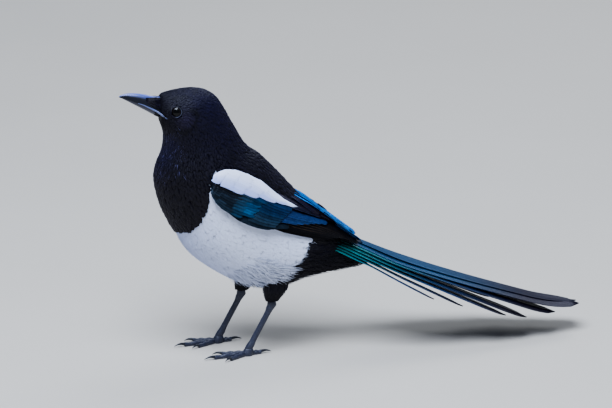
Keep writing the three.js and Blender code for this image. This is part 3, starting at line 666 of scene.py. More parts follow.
def lay_feathers(blade, s, turn, length, half, lift, swerve, sink, tone, rise=1.0):
    """Blades from their roots along the body, each bent to it."""
    stops, row = np.unique(np.round(blade["along"], 4), return_inverse=True)
    path_s, path_turn = [s], [turn]
    for step in np.diff(stops):
        ahead, aside = length * step * np.cos(swerve), length * step * np.sin(swerve)
        next_s, next_turn = walk(path_s[-1], path_turn[-1], ahead, aside)
        path_s.append(next_s)
        path_turn.append(next_turn)
    centre_s, centre_turn = np.stack(path_s, axis=1)[:, row], np.stack(path_turn, axis=1)[:, row]
    wide = half[:, None] * blade["across"]
    spot_s, spot_turn = walk(centre_s, centre_turn, np.zeros_like(wide), wide)
    climb = blade["along"] ** 0.8 * np.reshape(rise, (-1, 1))
    height = -coat_depth(centre_s) - sink + (coat_depth(centre_s) + sink + lift[:, None]) * climb
    height = height + half[:, None] * blade["high"]
    normal = body_frame(spot_s, spot_turn)[3]
    points = body(spot_s, spot_turn) + normal * height[..., None]
    root_uv = np.stack([s / LAST_STATION, (turn / (2 * math.pi)) % 1.0], axis=-1) * 0.98 + 0.01
    run = length[:, None] * blade["along"]
    block = small_block(blade, points, wide, run, root_uv, tone[:, None, :], normal)
    return dict(block, tip=(path_s[-1], path_turn[-1]))


def kept(block, keep):
    """Only the feathers of a block for which keep is true."""
    for key in ("points", "vane_uv", "bake_uv", "tones", "normals"):
        block[key] = block[key][keep]
    return block


# %% Keep the eyes clear
EYE_CLEARING = 5.4  # mm from the eye's middle that feathers part round


def part_round_eyes(block):
    """Pushes the points of a block outward from the middle of each eye."""
    points = block["points"]
    for side in (1, -1):
        place, axis = EYE_PLACE * (1, side, 1), EYE_AXIS * (1, side, 1)
        away = points - place
        depth = (away * axis).sum(axis=-1, keepdims=True)
        flat = away - depth * axis
        reach = np.linalg.norm(flat, axis=-1, keepdims=True)
        near = (reach < EYE_CLEARING) & (np.abs(depth) < 8)
        moved = place + depth * axis + flat / np.maximum(reach, 0.05) * EYE_CLEARING
        points = np.where(near, moved, points)
    block["points"] = points
    return block


def squeezed(block):
    """Keeps only the feathers that parting round an eye hasn't torn wide."""
    spread = np.linalg.norm(block["points"].max(axis=1) - block["points"].min(axis=1), axis=-1)
    return kept(block, spread < np.median(spread) * 2.4)


# %% [markdown]
# The folded wing hides much of the flank. Its outline in the side view comes from the same rows
# that its feathers are laid on, so those rows are given first, and the coat is left out where
# the wing covers it well.

# %% Wing rows
# From the shoulder to the wing's tip: x, distance from the middle and height of the upper edge,
# then the same of the lower edge.
WING_ROWS = np.array([
    (-20, 32, 166, -23.5, 36, 146),
    (-8, 29.5, 168.5, -17, 38, 137.5),
    (5, 28, 164, -6, 40, 129),
    (18, 27, 155, 6, 41, 122),
    (31, 26.5, 142, 18, 40, 117),
    (44, 23.5, 132, 32, 37.7, 113.6),
    (57, 18.5, 124, 46.6, 33.3, 108.6),
    (70, 13.5, 117, 62, 28, 103.2),
    (83, 12, 109, 76, 24, 100),
    (96, 11.5, 99.5, 90, 20.5, 96.5),
    (107, 10, 90, 103, 15.5, 90),
])
HIDDEN_MARGIN = 9.0  # mm inside the wing's outline where the coat may end


def inside(outline, x, z):
    """True where a point lies in a closed outline of the side view."""
    result = np.zeros(np.shape(x), dtype=bool)
    for (x0, z0), (x1, z1) in zip(outline, np.roll(outline, -1, axis=0)):
        crosses = (z0 > z) != (z1 > z)
        at = x0 + (z - z0) * (x1 - x0) / np.where(z1 == z0, 1e-9, z1 - z0)
        result ^= crosses & (x < at)
    return result


rows = WING_ROWS[1:8]
middle_line = (rows[:, [0, 2]] + rows[:, [3, 5]]) / 2
upper_half, lower_half = rows[:, [0, 2]] - middle_line, rows[:, [3, 5]] - middle_line
shrink = 1 - HIDDEN_MARGIN / np.maximum(np.linalg.norm(upper_half, axis=1, keepdims=True), HIDDEN_MARGIN)
upper_line, lower_line = middle_line + upper_half * shrink, middle_line + lower_half * shrink
hidden_outline = np.concatenate([upper_line, lower_line[::-1]])


def under_wing(s, turn):
    spot = body(s, turn)
    sideways = np.abs(spot[..., 1]) > 12
    return inside(hidden_outline, spot[..., 0], spot[..., 2]) & sideways


print("wing hides", round(float(under_wing(probe_s, probe_turn).mean()) * 100), "% of the probed places")

# %% [markdown]
# The size of the feathers follows the real bird: two or three millimetres on the face, five to
# eight on the neck, and more than a centimetre on the breast, back and belly. Black feathers
# have a faint blue sheen that is strongest on the crown and nape.

# %% Feather sizes
SIZE_STOPS = np.array([0, 1, 2.5, 4.6, 8, 11, 15, 19, 22])
SPACING = np.array([0.75, 0.85, 1.05, 1.35, 2.0, 2.4, 2.4, 2.3, 2.6])
LENGTH = np.array([2.4, 3.0, 4.2, 6.0, 9.0, 12.0, 13.0, 13.0, 14.0])
HALF_WIDTH = np.array([0.4, 0.5, 0.7, 0.95, 1.5, 2.0, 2.1, 2.0, 2.2])
LIFT = np.array([0.15, 0.2, 0.3, 0.45, 0.6, 0.7, 0.8, 0.7, 0.5])


def at_station(values, s):
    return np.interp(s, SIZE_STOPS, values)


def colour_near(s, turn, white):
    """True where the coat is of this colour, or will be a feather's length further on."""
    ahead_s, ahead_turn = walk(s, turn, 9.0, 0.0)
    return (is_white(s, turn) == white) | (is_white(ahead_s, ahead_turn) == white)


def kept_short(s, turn, length, swerve, overhang):
    """Lengths cut back so that a feather ends a little past a border of black and white."""
    own, limit, steps = is_white(s, turn), length, 12
    crossed = np.zeros(len(s), dtype=bool)
    for step in range(steps):
        s, turn = walk(s, turn, length / steps * np.cos(swerve), length / steps * np.sin(swerve))
        crosses = (is_white(s, turn) != own) & ~crossed
        limit = np.where(crosses, length * (step + 0.5) / steps + overhang, limit)
        crossed |= crosses
    return np.clip(limit, 1.0, length)


UNDER = 0.7  # how much lower the feathers lie that come out from under the other colour


def coat_block(blade, wanted, seed, tone, white=False, thin=1.0, long=1.0, dense=1.0, flat=1.0,
               uneven=0.25, sink=0.4, loose=0.12, overhang=(0.4, 1.6), shading=0.12):
    """Feathers of one colour over the part of the body where wanted is true."""
    s, turn, rng = root_places(
        lambda s, turn: at_station(SPACING, s) / dense,
        lambda s, turn: wanted(s, turn) & colour_near(s, turn, white), seed,
    )
    vary = rng.normal(1.0, 0.12, (3, len(s))).clip(0.7, 1.4)
    swerve = rng.normal(0.0, loose, len(s))
    shade = rng.normal(1.0, shading, len(s)).clip(0.7, 1.35)
    full = at_station(LENGTH, s) * long * vary[0]
    on_own = is_white(s, turn) == white
    length = np.where(on_own, kept_short(s, turn, full, swerve, rng.uniform(*overhang, len(s))), full)
    half = at_station(HALF_WIDTH, s) * thin * vary[1] * np.sqrt(length / full)
    lift = at_station(LIFT, s) * flat * vary[2] + rng.uniform(0, uneven, len(s)) - UNDER * ~on_own
    tones = tone(s, turn) * shade[:, None]
    block = lay_feathers(blade, s, turn, length, half, lift, swerve, sink, tones, rise=length / full)
    ends_on_own = is_white(*block["tip"]) == white
    little_over = on_own & (is_white(*walk(*block["tip"], -(overhang[1] + 1.0), 0.0)) == white)
    return kept(block, ends_on_own | little_over)


def black_tone(s, turn):
    """Black: bluer on crown, nape and throat, with a painted violet highlight on the ear coverts and a
    painted shadow round their rear edge.
    """
    angle = belly_angle(turn)
    blue = np.exp(-((s - 4.5) / 3.5) ** 2) * np.clip((angle - 40) / 90, 0, 1)
    throat = np.exp(-((s - 5.0) / 2.2) ** 2) * np.clip((70 - angle) / 40, 0, 1)
    from_ear = np.hypot((s - 3.1) / 0.9, (angle - 84) / 17)
    # painted violet highlight on the ear coverts, below and behind the eye
    painted_cheek_highlight = np.exp(-from_ear**2)[:, None]
    # painted shadow round the rear edge of the ear coverts, as if cast by them
    rim = np.exp(-((from_ear - 1.45) / 0.3) ** 2)[:, None] * (s > 2.9)[:, None]
    tones = shades(BLACK, BLUE_BLACK, np.maximum(blue, throat))
    return (tones + (VIOLET_BLACK - BLACK) * 0.8 * painted_cheek_highlight) * (1 - 0.6 * rim)


def white_tone(s, turn):
    """White, darkening to blue-grey toward the belly's middle as painted shade of the underside."""
    return shades(WHITE, WHITE_PAINTED_SHADE, (72 - belly_angle(turn)) / 60) + 0 * s[:, None]


# %% Black coat of the head and neck
head_block = squeezed(part_round_eyes(coat_block(
    VANE, lambda s, turn: s < NECK_STATION, seed=11, tone=black_tone,
)))
joined_piece("coat_head", [head_block], black_feathers, softness=0.6)
neck_block = coat_block(
    VANE, lambda s, turn: (s >= NECK_STATION) & (s < 8), seed=12, tone=black_tone, dense=1.1,
)
throat_streaks = coat_block(
    LOCK, lambda s, turn: (s > 2.6) & (s < 8) & (belly_angle(turn) < 62), seed=18,
    tone=lambda s, turn: np.tile(STREAK, (len(s), 1)), thin=0.15, long=1.5, dense=0.85,
    flat=1.6, loose=0.2, shading=0.4,
)
joined_piece("coat_neck", [neck_block, throat_streaks], black_feathers, softness=0.5)

# %% Black coat of the body
RUMP_END, VENT_END = 18.4, 19.6


def has_back_coat(s, turn):
    """Behind the neck, clear of the wing, and not under the tail feathers."""
    end = np.where(belly_angle(turn) > 75, RUMP_END, VENT_END)
    return (s >= 8) & (s < end) & ~under_wing(s, turn)


body_black = coat_block(VANE, has_back_coat, seed=13, tone=black_tone, dense=1.1)
vent_locks = coat_block(
    LOCK, lambda s, turn: has_back_coat(s, turn) & (s > 14.8) & (belly_angle(turn) < 110), seed=16,
    tone=black_tone, thin=0.25, long=1.5, dense=1.2, flat=3.2, uneven=1.0, loose=0.45,
    overhang=(1.0, 5.0),
)
joined_piece("coat_back", [body_black, vent_locks], black_feathers, softness=0.5)

# %% White coat of the belly
def has_belly_coat(s, turn):
    return ~under_wing(s, turn) & (belly_angle(turn) < FLANK_TOP) & (s > 8)


def over_thighs(s, turn):
    angle = belly_angle(turn)
    return (s > 13.9) & (s < 15.4) & (angle > 30) & (angle < 72)


white_vanes = coat_block(
    VANE, has_belly_coat, seed=14, tone=white_tone, white=True, flat=0.35, uneven=0.08, dense=1.1,
    overhang=(-3.5, -0.5), shading=0.02,
)
white_locks = coat_block(
    LOCK, has_belly_coat, seed=15, tone=white_tone, white=True, thin=0.17, long=1.25, dense=1.8,
    flat=0.3, uneven=0.08, loose=0.09, overhang=(0.5, 4.0), shading=0.02,
)
thigh_tufts = coat_block(
    LOCK, over_thighs, seed=17, tone=white_tone, white=True, thin=0.25, long=1.6, dense=1.5,
    flat=3.6, uneven=1.6, loose=0.4, overhang=(6.0, 11.0), shading=0.03,
)
joined_piece("coat_belly", [white_vanes], white_feathers, softness=0.85)
joined_piece(
    "coat_belly_locks", [white_locks, thigh_tufts], white_feathers, softness=0.88,
)

# %% [markdown]
# ## Feathered thighs
# The black feathers of the thigh are short and soft and hang down round the leg like trousers.
# They are laid on the thigh's own tube in the same way, with their tips toward the heel.

# %% Thigh coat
THIGH_LENGTH = 30


def thigh_block(leg, seed, count=900):
    rng = np.random.default_rng(seed)
    start = np.sqrt(rng.uniform(0.1, 0.85, count)) * 0.9
    turn = rng.uniform(0, 2 * math.pi, count)
    length = rng.uniform(0.14, 0.22, count) * (1 - 0.35 * start)
    half = rng.uniform(0.9, 1.5, count) * (1 - 0.4 * start)
    along = start[:, None] + length[:, None] * LOCK["along"]
    share = np.clip(along, 0, 1)
    reach = through(thigh_rows(leg), share * 4)[..., 3]
    spin = turn[:, None] + half[:, None] * LOCK["across"] / reach
    lift = -THIGH_DEPTH - 0.3 + (THIGH_DEPTH + 0.9) * LOCK["along"] + 0.4 * half[:, None] * LOCK["high"]
    points = thigh(leg, share, spin, lift)
    points[..., 2] -= np.clip(along - 1, 0, 1) * THIGH_LENGTH
    root_uv = np.stack([0.7 + 0.1 * start, turn / (2 * math.pi)], axis=-1)
    tones = BLACK * rng.normal(1.0, 0.15, (count, 1, 1))
    normals = unit(thigh(leg, share, spin, 1.0) - thigh(leg, share, spin))
    wide = half[:, None] * LOCK["across"]
    return small_block(LOCK, points, wide, along * THIGH_LENGTH, root_uv, tones, normals)


for seed, (name, leg) in enumerate(LEGS.items(), start=31):
    joined_piece("coat_thigh_" + name, [thigh_block(leg, seed)], black_feathers,
                 softness=0.6)

# %% [markdown]
# ## Long feathers
# A flight feather is a stiff shaft with a vane on each side. One starts as a flat grid that is
# given a thickness, and its points are sent to their place: along the wing's sheet, out to the
# vane's width at that length, with a ridge at the shaft and the edges bent down a little. The
# feathers of a row are worked out together, from the first one and the last one.

# %% A long vane to repeat
def vane_arrays(rows, columns):
    """Shares along and across, side (0 above, 1 below), ridge and triangles of a long vane."""
    bm = bmesh.new()
    bmesh.ops.create_grid(bm, x_segments=len(columns) - 1, y_segments=len(rows) - 1, size=0.5)
    bmesh.ops.solidify(bm, geom=bm.faces[:], thickness=0.1)
    bmesh.ops.recalc_face_normals(bm, faces=bm.faces)
    bmesh.ops.triangulate(bm, faces=bm.faces)
    high = max(v.co.z for v in bm.verts)
    column = np.array([round((v.co.x + 0.5) * (len(columns) - 1)) for v in bm.verts])
    row = np.array([round((v.co.y + 0.5) * (len(rows) - 1)) for v in bm.verts])
    below = np.array([0.0 if abs(v.co.z - high) < 0.05 else 1.0 for v in bm.verts])
    triangles = np.array([[v.index for v in f.verts] for f in bm.faces])
    bm.free()
    across = np.asarray(columns)[column]
    return {"along": np.asarray(rows)[row], "across": across, "below": below,
            "shaft": np.where(np.abs(across) < 1e-6, 1.0, 0.0), "triangles": triangles}


def row_stops(count, roundness):
    """Rows of a vane, closer together at its round tip."""
    straight = np.linspace(0, 1 - roundness, count)
    tip = 1 - roundness * np.cos(np.linspace(0, math.pi / 2, 7)[1:])
    return np.concatenate([straight, tip])


TIP_ROUND = 0.1
LONG_VANE = vane_arrays(row_stops(16, TIP_ROUND), (-1, -0.93, -0.84, -0.4, -0.05, 0, 0.05, 0.5, 1))
SHORT_VANE = vane_arrays(row_stops(5, 0.25), (-1, -0.6, 0, 0.6, 1))
print("triangles in a long and a short vane", len(LONG_VANE["triangles"]), len(SHORT_VANE["triangles"]))


# %% The wing's sheet
WING_BULGE, WING_STACK, WING_COVER, MIDLINE_CLEAR = 2.5, 1.4, 1.8, 1.5
table_x, table_z = np.arange(-70.0, 151.0), np.arange(40.0, 231.0)


def body_half_table():
    """Half width of the body at each millimetre of its side view."""
    stations = through(STATIONS, np.arange(NECK_STATION, LAST_STATION, 0.05))
    x, z = np.meshgrid(table_x, table_z, indexing="ij")
    result, before = np.zeros_like(x), None
    for back_x, back_z, belly_x, belly_z, half in stations:
        run_x, run_z = belly_x - back_x, belly_z - back_z
        side = run_x * (z - back_z) - run_z * (x - back_x)
        if before is not None:
            down = ((x - back_x) * run_x + (z - back_z) * run_z) / (run_x**2 + run_z**2)
            here = ((side > 0) != (before > 0)) & (down >= 0) & (down <= 1) & (result == 0)
            result = np.where(here, half * np.sqrt(np.clip(1 - (1 - 2 * down) ** 2, 0, 1)), result)
        before = side
    return result


half_table = body_half_table()


def body_half(x, z):
    i = np.clip(x - table_x[0], 0, len(table_x) - 1.001)
    k = np.clip(z - table_z[0], 0, len(table_z) - 1.001)
    i0, k0 = i.astype(int), k.astype(int)
    part_x, part_z = i - i0, k - k0
    low = half_table[i0, k0] * (1 - part_x) + half_table[i0 + 1, k0] * part_x
    high = half_table[i0, k0 + 1] * (1 - part_x) + half_table[i0 + 1, k0 + 1] * part_x
    return low * (1 - part_z) + high * part_z


def wing_sheet(u, v):
    """The left wing's sheet: u from the shoulder (0) to the tip (10), v from upper to lower edge."""
    upper_x, upper_y, upper_z, lower_x, lower_y, lower_z = np.moveaxis(through(WING_ROWS, u), -1, 0)
    x = upper_x + (lower_x - upper_x) * v
    z = upper_z + (lower_z - upper_z) * v
    own = upper_y + (lower_y - upper_y) * v + WING_BULGE * 4 * v * (1 - v) * (1 - u / 12) - WING_STACK
    return np.stack([x, -np.maximum(own, body_half(x, z) + WING_COVER), z], axis=-1)


# %% Lay long feathers on a sheet
LOOK_ROUND = 0.05  # share of a feather's run over which its direction is measured
FULL_WIDTH_AT, RISEN_AT = 0.35, 0.4  # shares of its length where it is full and out from under others
SHAFT_HEIGHT = 0.22


def ease(t):
    t = np.clip(t, 0, 1)
    return t * t * (3 - 2 * t)


def lay_row(sheet, vane, count, first, last, lift, tilt=0.75, sunk=1.3, camber=0.35, thickness=0.3,
            outside=(0.1, -1, 0.35), tones=None, seed=0, tip_round=TIP_ROUND, nudge=0.0, root=0.4,
            shading=0.15, clear=True):
    """A row of feathers as a block: each from a root to a tip on the sheet, like shingles."""
    rng = np.random.default_rng(seed)
    k = np.linspace(0, 1, count)[:, None]
    start, end, half = (
        np.array(one) + (np.array(other) - np.array(one)) * k for one, other in zip(first, last)
    )
    end = end + rng.uniform(-nudge, nudge, end.shape) * (end - start)
    t = vane["along"][None]
    u = start[:, :1] + (end - start)[:, :1] * t
    v = start[:, 1:] + (end - start)[:, 1:] * t
    way = (end - start)[:, None, :]
    du, dv = np.moveaxis(way, -1, 0) * LOOK_ROUND
    along = unit(sheet(u + du, v + dv) - sheet(u - du, v - dv))
    beside = sheet(u - dv, v + du * 0.4) - sheet(u + dv, v - du * 0.4)
    up = unit(np.cross(along, beside))
    up = up * np.sign((up * np.array(outside)).sum(axis=-1, keepdims=True))
    across = np.cross(up, along)
    growing = root + (1 - root) * ease(t / FULL_WIDTH_AT)
    past = np.clip((t - (1 - tip_round)) / tip_round, 0, 1)
    wide = half * growing * np.sqrt(np.clip(1 - past**2.2, 0.0025, 1))
    side = vane["across"][None]
    height = -sunk + (lift + sunk) * ease(t / RISEN_AT) + SHAFT_HEIGHT * vane["shaft"]
    height = height - camber * side**2
    height = height - side * tilt * (wide / half) - thickness * vane["below"] * (1 - 0.6 * past)
    points = sheet(u, v) + across * (side * wide)[..., None] + up * height[..., None]
    if clear:
        points[..., 1] = np.minimum(points[..., 1], -MIDLINE_CLEAR)
    length = np.linalg.norm(sheet(end[:, 0], end[:, 1]) - sheet(start[:, 0], start[:, 1]), axis=-1)
    vane_uv = np.stack([side * wide, t * length[:, None] + np.zeros_like(wide)], axis=-1)
    shade = rng.normal(1.0, shading, (count, 1, 1)).clip(0.55, 1.5)
    return {"points": points, "triangles": vane["triangles"][:, ::-1], "vane_uv": vane_uv, "bake_uv": None,
            "tones": tones(k, t + 0 * wide, side + 0 * wide) * shade, "below": vane["below"],
            "normals": up + 0 * points, "size": (half.max() * 2, length.max())}


# %% [markdown]
# A long feather changes colour across its vanes, so each one gets a strip of its own on the
# bake map. The strips stand side by side on shelves, as in a sewing pattern, the upper face of
# a feather beside its lower one.

# %% Pack the strips of the bake map
SHELF_SLACK = 1.12  # room for shelves that don't fill up


def pack_strips(blocks, margin=0.5):
    """Gives every feather of the blocks a strip on the unit square."""
    total = sum(len(b["points"]) * 2 * (b["size"][0] + margin) * (b["size"][1] + margin) for b in blocks)
    sheet_side = math.sqrt(total) * SHELF_SLACK
    x, y, shelf = 0.0, 0.0, 0.0
    for block in sorted(blocks, key=lambda b: -b["size"][1]):
        wide, long = block["size"]
        uv = np.empty(block["vane_uv"].shape)
        below = block["below"]
        for k in range(len(uv)):
            if x + 2 * (wide + margin) > sheet_side:
                x, y, shelf = 0.0, y + shelf + margin, 0.0
            shelf = max(shelf, long)
            uv[k, :, 0] = x + wide / 2 + block["vane_uv"][k, :, 0] + below * (wide + margin)
            uv[k, :, 1] = y + block["vane_uv"][k, :, 1]
            x += 2 * (wide + margin)
        block["bake_uv"] = uv
    span = max(b["bake_uv"].max() for b in blocks) + margin
    for block in blocks:
        block["bake_uv"] = block["bake_uv"] / span
    return blocks


# %% [markdown]
# ## Wings
# From the tail end forward the folded wing shows the dark primaries with fine pale edges, the
# blue secondaries, the tertials, then the coverts in rows that get smaller toward the shoulder:
# great coverts in teal and blue, middle and lesser coverts in green-black. White scapulars lie
# over the top as one long patch. The rows below are those of the solids, with more feathers.

# %% The fold over the back
# From u = 4 on: x, distance from the middle and height of the crest, then of the inner edge.
FOLD_ROWS = np.array([
    (33, 9, 149, 33, 2.5, 147),
    (46, 9, 140.5, 46, 2.5, 138.5),
    (58, 12, 130.8, 58, 2.5, 127.5),
    (70, 12, 120.8, 70, 2.5, 117.5),
    (84, 11.5, 108.6, 84, 2.5, 105.4),
    (97, 11, 98, 97, 2.5, 95.4),
    (108, 9.5, 89.8, 108, 3, 88.4),
])
FOLD_START = 4


def fold_sheet(u, w):
    """The wing's inner part: w from its upper edge (0) by the crest (0.5) to the middle (1)."""
    rows = through(FOLD_ROWS, u - FOLD_START) * (1, -1, 1, 1, -1, 1)
    w = w[..., None]
    edge = wing_sheet(u, 0 * u)
    return edge * (1 - w) * (1 - 2 * w) + rows[..., :3] * 4 * w * (1 - w) + rows[..., 3:] * w * (2 * w - 1)


# %% Colours of the wing rows
# Each takes the feather's place in its row (k), the share of its length (t) and of its width (side).
OUTER_EDGE = -0.97


def primary_tones(k, t, side):
    """Brown-black, with a thin pale outer edge that fades toward the tip."""
    edge = shades(PALE_EDGE, BROWN_BLACK, (t - 0.45) / 0.3)
    return where((side < OUTER_EDGE) & (k > 0.35), edge, BROWN_BLACK)


def secondary_tones(k, t, side):
    """Blue outer vane with a pale edge line, and a dark inner vane."""
    vane = where(side < 0.1, shades(SECONDARY_BLUE, AZURE, 0.06 * t), BLACK)
    return where(side < OUTER_EDGE, PALE_BLUE, vane)


def tertial_tones(k, t, side):
    """Black with a violet sheen and a thin lighter edge."""
    return where(side < OUTER_EDGE, PALE_BLUE * 0.6, shades(BLACK, VIOLET_BLACK, 1 - 0.7 * t))


def crest_tones(k, t, side):
    """Azure over the back, with a dark line at the shaft and the inner edge."""
    dark = (side > -OUTER_EDGE) | (np.abs(side) < 0.03)
    return where(dark, SECONDARY_BLUE, shades(AZURE, SECONDARY_BLUE, 0.3 * t))


def band_tones(k, t, side):
    """The dark lower band, with a bronze line at its top."""
    return where((side > 0.85) & (k > 0.7), BRONZE, shades(GREEN_BLACK, BLACK, 0.4 + 0 * t))


def great_tones(k, t, side):
    """Dark green-black low down, deep blue above."""
    return shades(shades(DEEP_BLUE, SECONDARY_BLUE, 0.5 * k * t), GREEN_BLACK * 1.3, 1.2 - 2.0 * k)


def middle_tones(k, t, side):
    """Teal, deep blue toward the upper feathers and the tips."""
    return shades(TEAL, DEEP_BLUE, 0.75 * k**2 + 0.2 * t + 0 * side)


def lesser_tones(k, t, side):
    """Green-black, and black toward the upper feathers."""
    return shades(GREEN_BLACK, BLACK, k + 0 * (t + side))


def fringe_tones(k, t, side):
    """Green-black with a hint of the teal behind."""
    return shades(GREEN_BLACK, TEAL, 0.4 * t * (1 - k) + 0 * side)


def scapular_tones(k, t, side):
    """White, with painted blue-grey shade toward the lower edge."""
    return shades(WHITE, SCAPULAR_PAINTED_SHADE, 0.9 * (1 - k) + 0 * (t + side))


# %% Rows of the wing
# How many feathers, then the root, the tip and the half width of the lowest or first of them and
# of the last, how far they stand off the sheet, and their colours.
FLIGHT_ROWS = [
    (7, (4.2, 0.92), (8.2, 0.92), 3.8, (4.6, 0.3), (10, 0.22), 4.8, -0.2, primary_tones),
    (6, (3.4, 0.72), (6.0, 0.54), 3.4, (3.4, 0.3), (7.8, 0.2), 3.8, 1.2, secondary_tones),
    (2, (3.6, 0.1), (7.3, 0.07), 2.4, (3.6, 0.0), (6.6, 0.0), 3.0, 2.0, tertial_tones),
    (5, (1.5, 1.0), (4.6, 0.98), 2.3, (1.6, 0.88), (5.6, 0.84), 2.7, 1.3, band_tones),
    (9, (2.3, 0.88), (4.8, 0.86), 3.0, (2.6, 0.3), (5.3, 0.16), 3.8, 2.2, great_tones),
]
COVERT_ROWS = [
    (9, (1.7, 0.86), (3.2, 0.82), 2.3, (1.9, 0.42), (3.8, 0.36), 2.9, 2.7, middle_tones),
    (9, (1.1, 0.97), (2.5, 0.94), 2.1, (1.4, 0.42), (3.0, 0.36), 2.7, 2.9, fringe_tones),
    (10, (0.7, 0.97), (1.9, 0.96), 2.0, (0.9, 0.42), (2.4, 0.38), 2.5, 3.0, lesser_tones),
    (10, (0.3, 0.95), (1.4, 0.96), 1.9, (0.4, 0.42), (1.8, 0.4), 2.4, 3.0, lesser_tones),
    (9, (0.0, 0.9), (0.9, 0.95), 1.8, (0.0, 0.45), (1.2, 0.42), 2.2, 2.9, lesser_tones),
    (8, (-0.2, 0.8), (0.45, 0.88), 1.6, (-0.25, 0.45), (0.7, 0.42), 2.0, 2.6, lesser_tones),
]
FOLDED_ROWS = [
    (3, (4.8, 0.98), (9.0, 0.95), 2.4, (4.8, 0.48), (9.9, 0.52), 2.8, 1.3, crest_tones),
    (3, (4.2, -0.1), (9.9, 0.02), 3.2, (4.2, 0.26), (8.6, 0.24), 3.0, 0.9, tertial_tones),
]
SCAPULAR_ROWS = [
    (4, (2.2, 0.24), (4.9, 0.13), 2.2, (2.6, 0.09), (5.6, 0.07), 1.7, 3.2, scapular_tones),
    (6, (1.6, 0.36), (4.05, 0.24), 3.0, (2.0, 0.1), (4.7, 0.09), 3.0, 3.4, scapular_tones),
    (7, (1.0, 0.42), (3.1, 0.37), 3.2, (1.3, 0.14), (3.6, 0.12), 3.0, 3.6, scapular_tones),
    (8, (0.5, 0.44), (2.3, 0.45), 3.2, (0.7, 0.17), (2.7, 0.13), 3.0, 3.8, scapular_tones),
    (8, (0.1, 0.43), (1.5, 0.45), 3.0, (0.2, 0.19), (1.8, 0.16), 3.0, 4.0, scapular_tones),
    (8, (-0.2, 0.36), (0.6, 0.42), 2.4, (0.05, 0.22), (0.95, 0.19), 2.4, 4.2, scapular_tones),
]
FLIGHT = {"vane": LONG_VANE, "tip_round": 0.07, "tilt": 0.95}
COVERT = {"vane": SHORT_VANE, "tip_round": 0.3, "nudge": 0.1, "shading": 0.3, "tilt": 0.9}
SCAPULAR = {"vane": SHORT_VANE, "tip_round": 0.3, "nudge": 0.05, "shading": 0.03, "tilt": 0.4, "camber": 0.5}


def lay_rows(sheet, rows, seed, **style):
    """A block for each row of a table, with seeds that count on from the first."""
    return [
        lay_row(sheet, count=count, first=(root, tip, half), last=(last_root, last_tip, last_half),
                lift=lift, tones=tones, seed=k, **style)
        for k, (count, root, tip, half, last_root, last_tip, last_half, lift, tones)
        in enumerate(rows, start=seed)
    ]


# %% Left and right wings
def mirrored(blocks):
    """The same feathers on the other side of the bird."""
    return [
        dict(block, points=block["points"] * (1, -1, 1), normals=block["normals"] * (1, -1, 1),
             triangles=block["triangles"][:, ::-1])
        for block in blocks
    ]


left_wing = pack_strips(
    lay_rows(wing_sheet, FLIGHT_ROWS, seed=50, **FLIGHT)
    + lay_rows(wing_sheet, COVERT_ROWS, seed=55, **COVERT)
    + lay_rows(fold_sheet, FOLDED_ROWS, seed=65, outside=(0.4, -0.1, 1), **FLIGHT)
)
left_scapulars = pack_strips(lay_rows(wing_sheet, SCAPULAR_ROWS, seed=70, **SCAPULAR))
for side, turn_over in (("left", list), ("right", mirrored)):
    wing_name, scapulars_name = "wing_feathers_" + side, "scapulars_" + side
    joined_piece(wing_name, turn_over(left_wing), wing_feathers, ("wing_" + side,))
    joined_piece(scapulars_name, turn_over(left_scapulars), white_feathers, softness=0.6)

# %% [markdown]
# ## Tail
# The tail has twelve feathers in steps, the middle pair longest. Each one lies nearly level and a
# little lower than the one inside it, like shingles laid down both sides of a low roof, so from
# the side only their edges show. Each feather has a line of its own from the rump to its tip.
# The upper faces are teal and green near the root and violet-black at the tips.

# %% The lines of the tail
RIDGE = np.array([
    (80, 101), (98, 92.3), (112, 85.5), (144, 70.4), (192, 52.2), (240, 36), (266, 28.2), (297, 22.8),
])
ridge_line = through(RIDGE, np.linspace(0, len(RIDGE) - 1, 400))
# From the middle pair outward: tip x, distance and height, then distance and drop at the root,
# half width, and how much lower the outer edge is near the tip for each millimetre across.
TAIL_FEATHERS = [
    (296, 5.5, 22.8, 2, 0, 13, 0.3),
    (273.7, 14, 19.3, 5, 1.6, 11.5, 0.15),
    (247.6, 22, 18.7, 7.5, 4, 10.5, 0.08),
    (228.6, 27, 23.2, 10, 6.5, 9.5, 0),
    (191.5, 29, 34, 12, 9, 8, -0.08),
    (166.4, 31, 42.3, 14, 11.5, 6.5, -0.12),
]
TAIL_ROOT_X = 86
ROOT_FALL, INNER_FALL = 0.55, 0.05
RIGHT_LOWER = 0.8  # the right middle feather lies under the left one
TAIL_VANE = vane_arrays(row_stops(30, 0.15), (-1, -0.95, -0.5, -0.04, 0, 0.04, 0.5, 0.95, 1))


def ridge_height(x):
    return np.interp(x, *ridge_line.T)


def feather_sheet(spec):
    """The sheet of one left tail feather: share of its length, and millimetres to the right."""
    tip_x, tip_y, tip_z, root_y, root_drop, _, fall = spec
    tip_drop = ridge_height(tip_x) - tip_z

    def sheet(share, across):
        x = TAIL_ROOT_X + (tip_x - TAIL_ROOT_X) * share
        drop = root_drop + (tip_drop - root_drop) * np.clip(share, 0, 1.1) ** 2
        y = -(root_y + (tip_y - root_y) * share)
        steep = ROOT_FALL + (fall - ROOT_FALL) * ease(share / 0.4)
        slant = np.where(across < 0, steep * across, -INNER_FALL * across)
        return np.stack([x, y + across, ridge_height(x) - drop + slant], axis=-1)

    return sheet


def tail_tones(pair):
    """Teal to green at the root, violet-black at the tip, black on the hidden inner vane."""
    def tones(k, t, side):
        dark = ease((t - 0.35 - 0.05 * pair) / 0.5)
        if pair == 0:
            return shades(TAIL_TEAL, TAIL_VIOLET, dark + 0.1 * np.abs(side))
        outer = shades(shades(TAIL_GREEN, TAIL_BLUE, ease(t / 0.6)), TAIL_VIOLET, dark)
        return where(side < -0.02, outer, BLACK)
    return tones


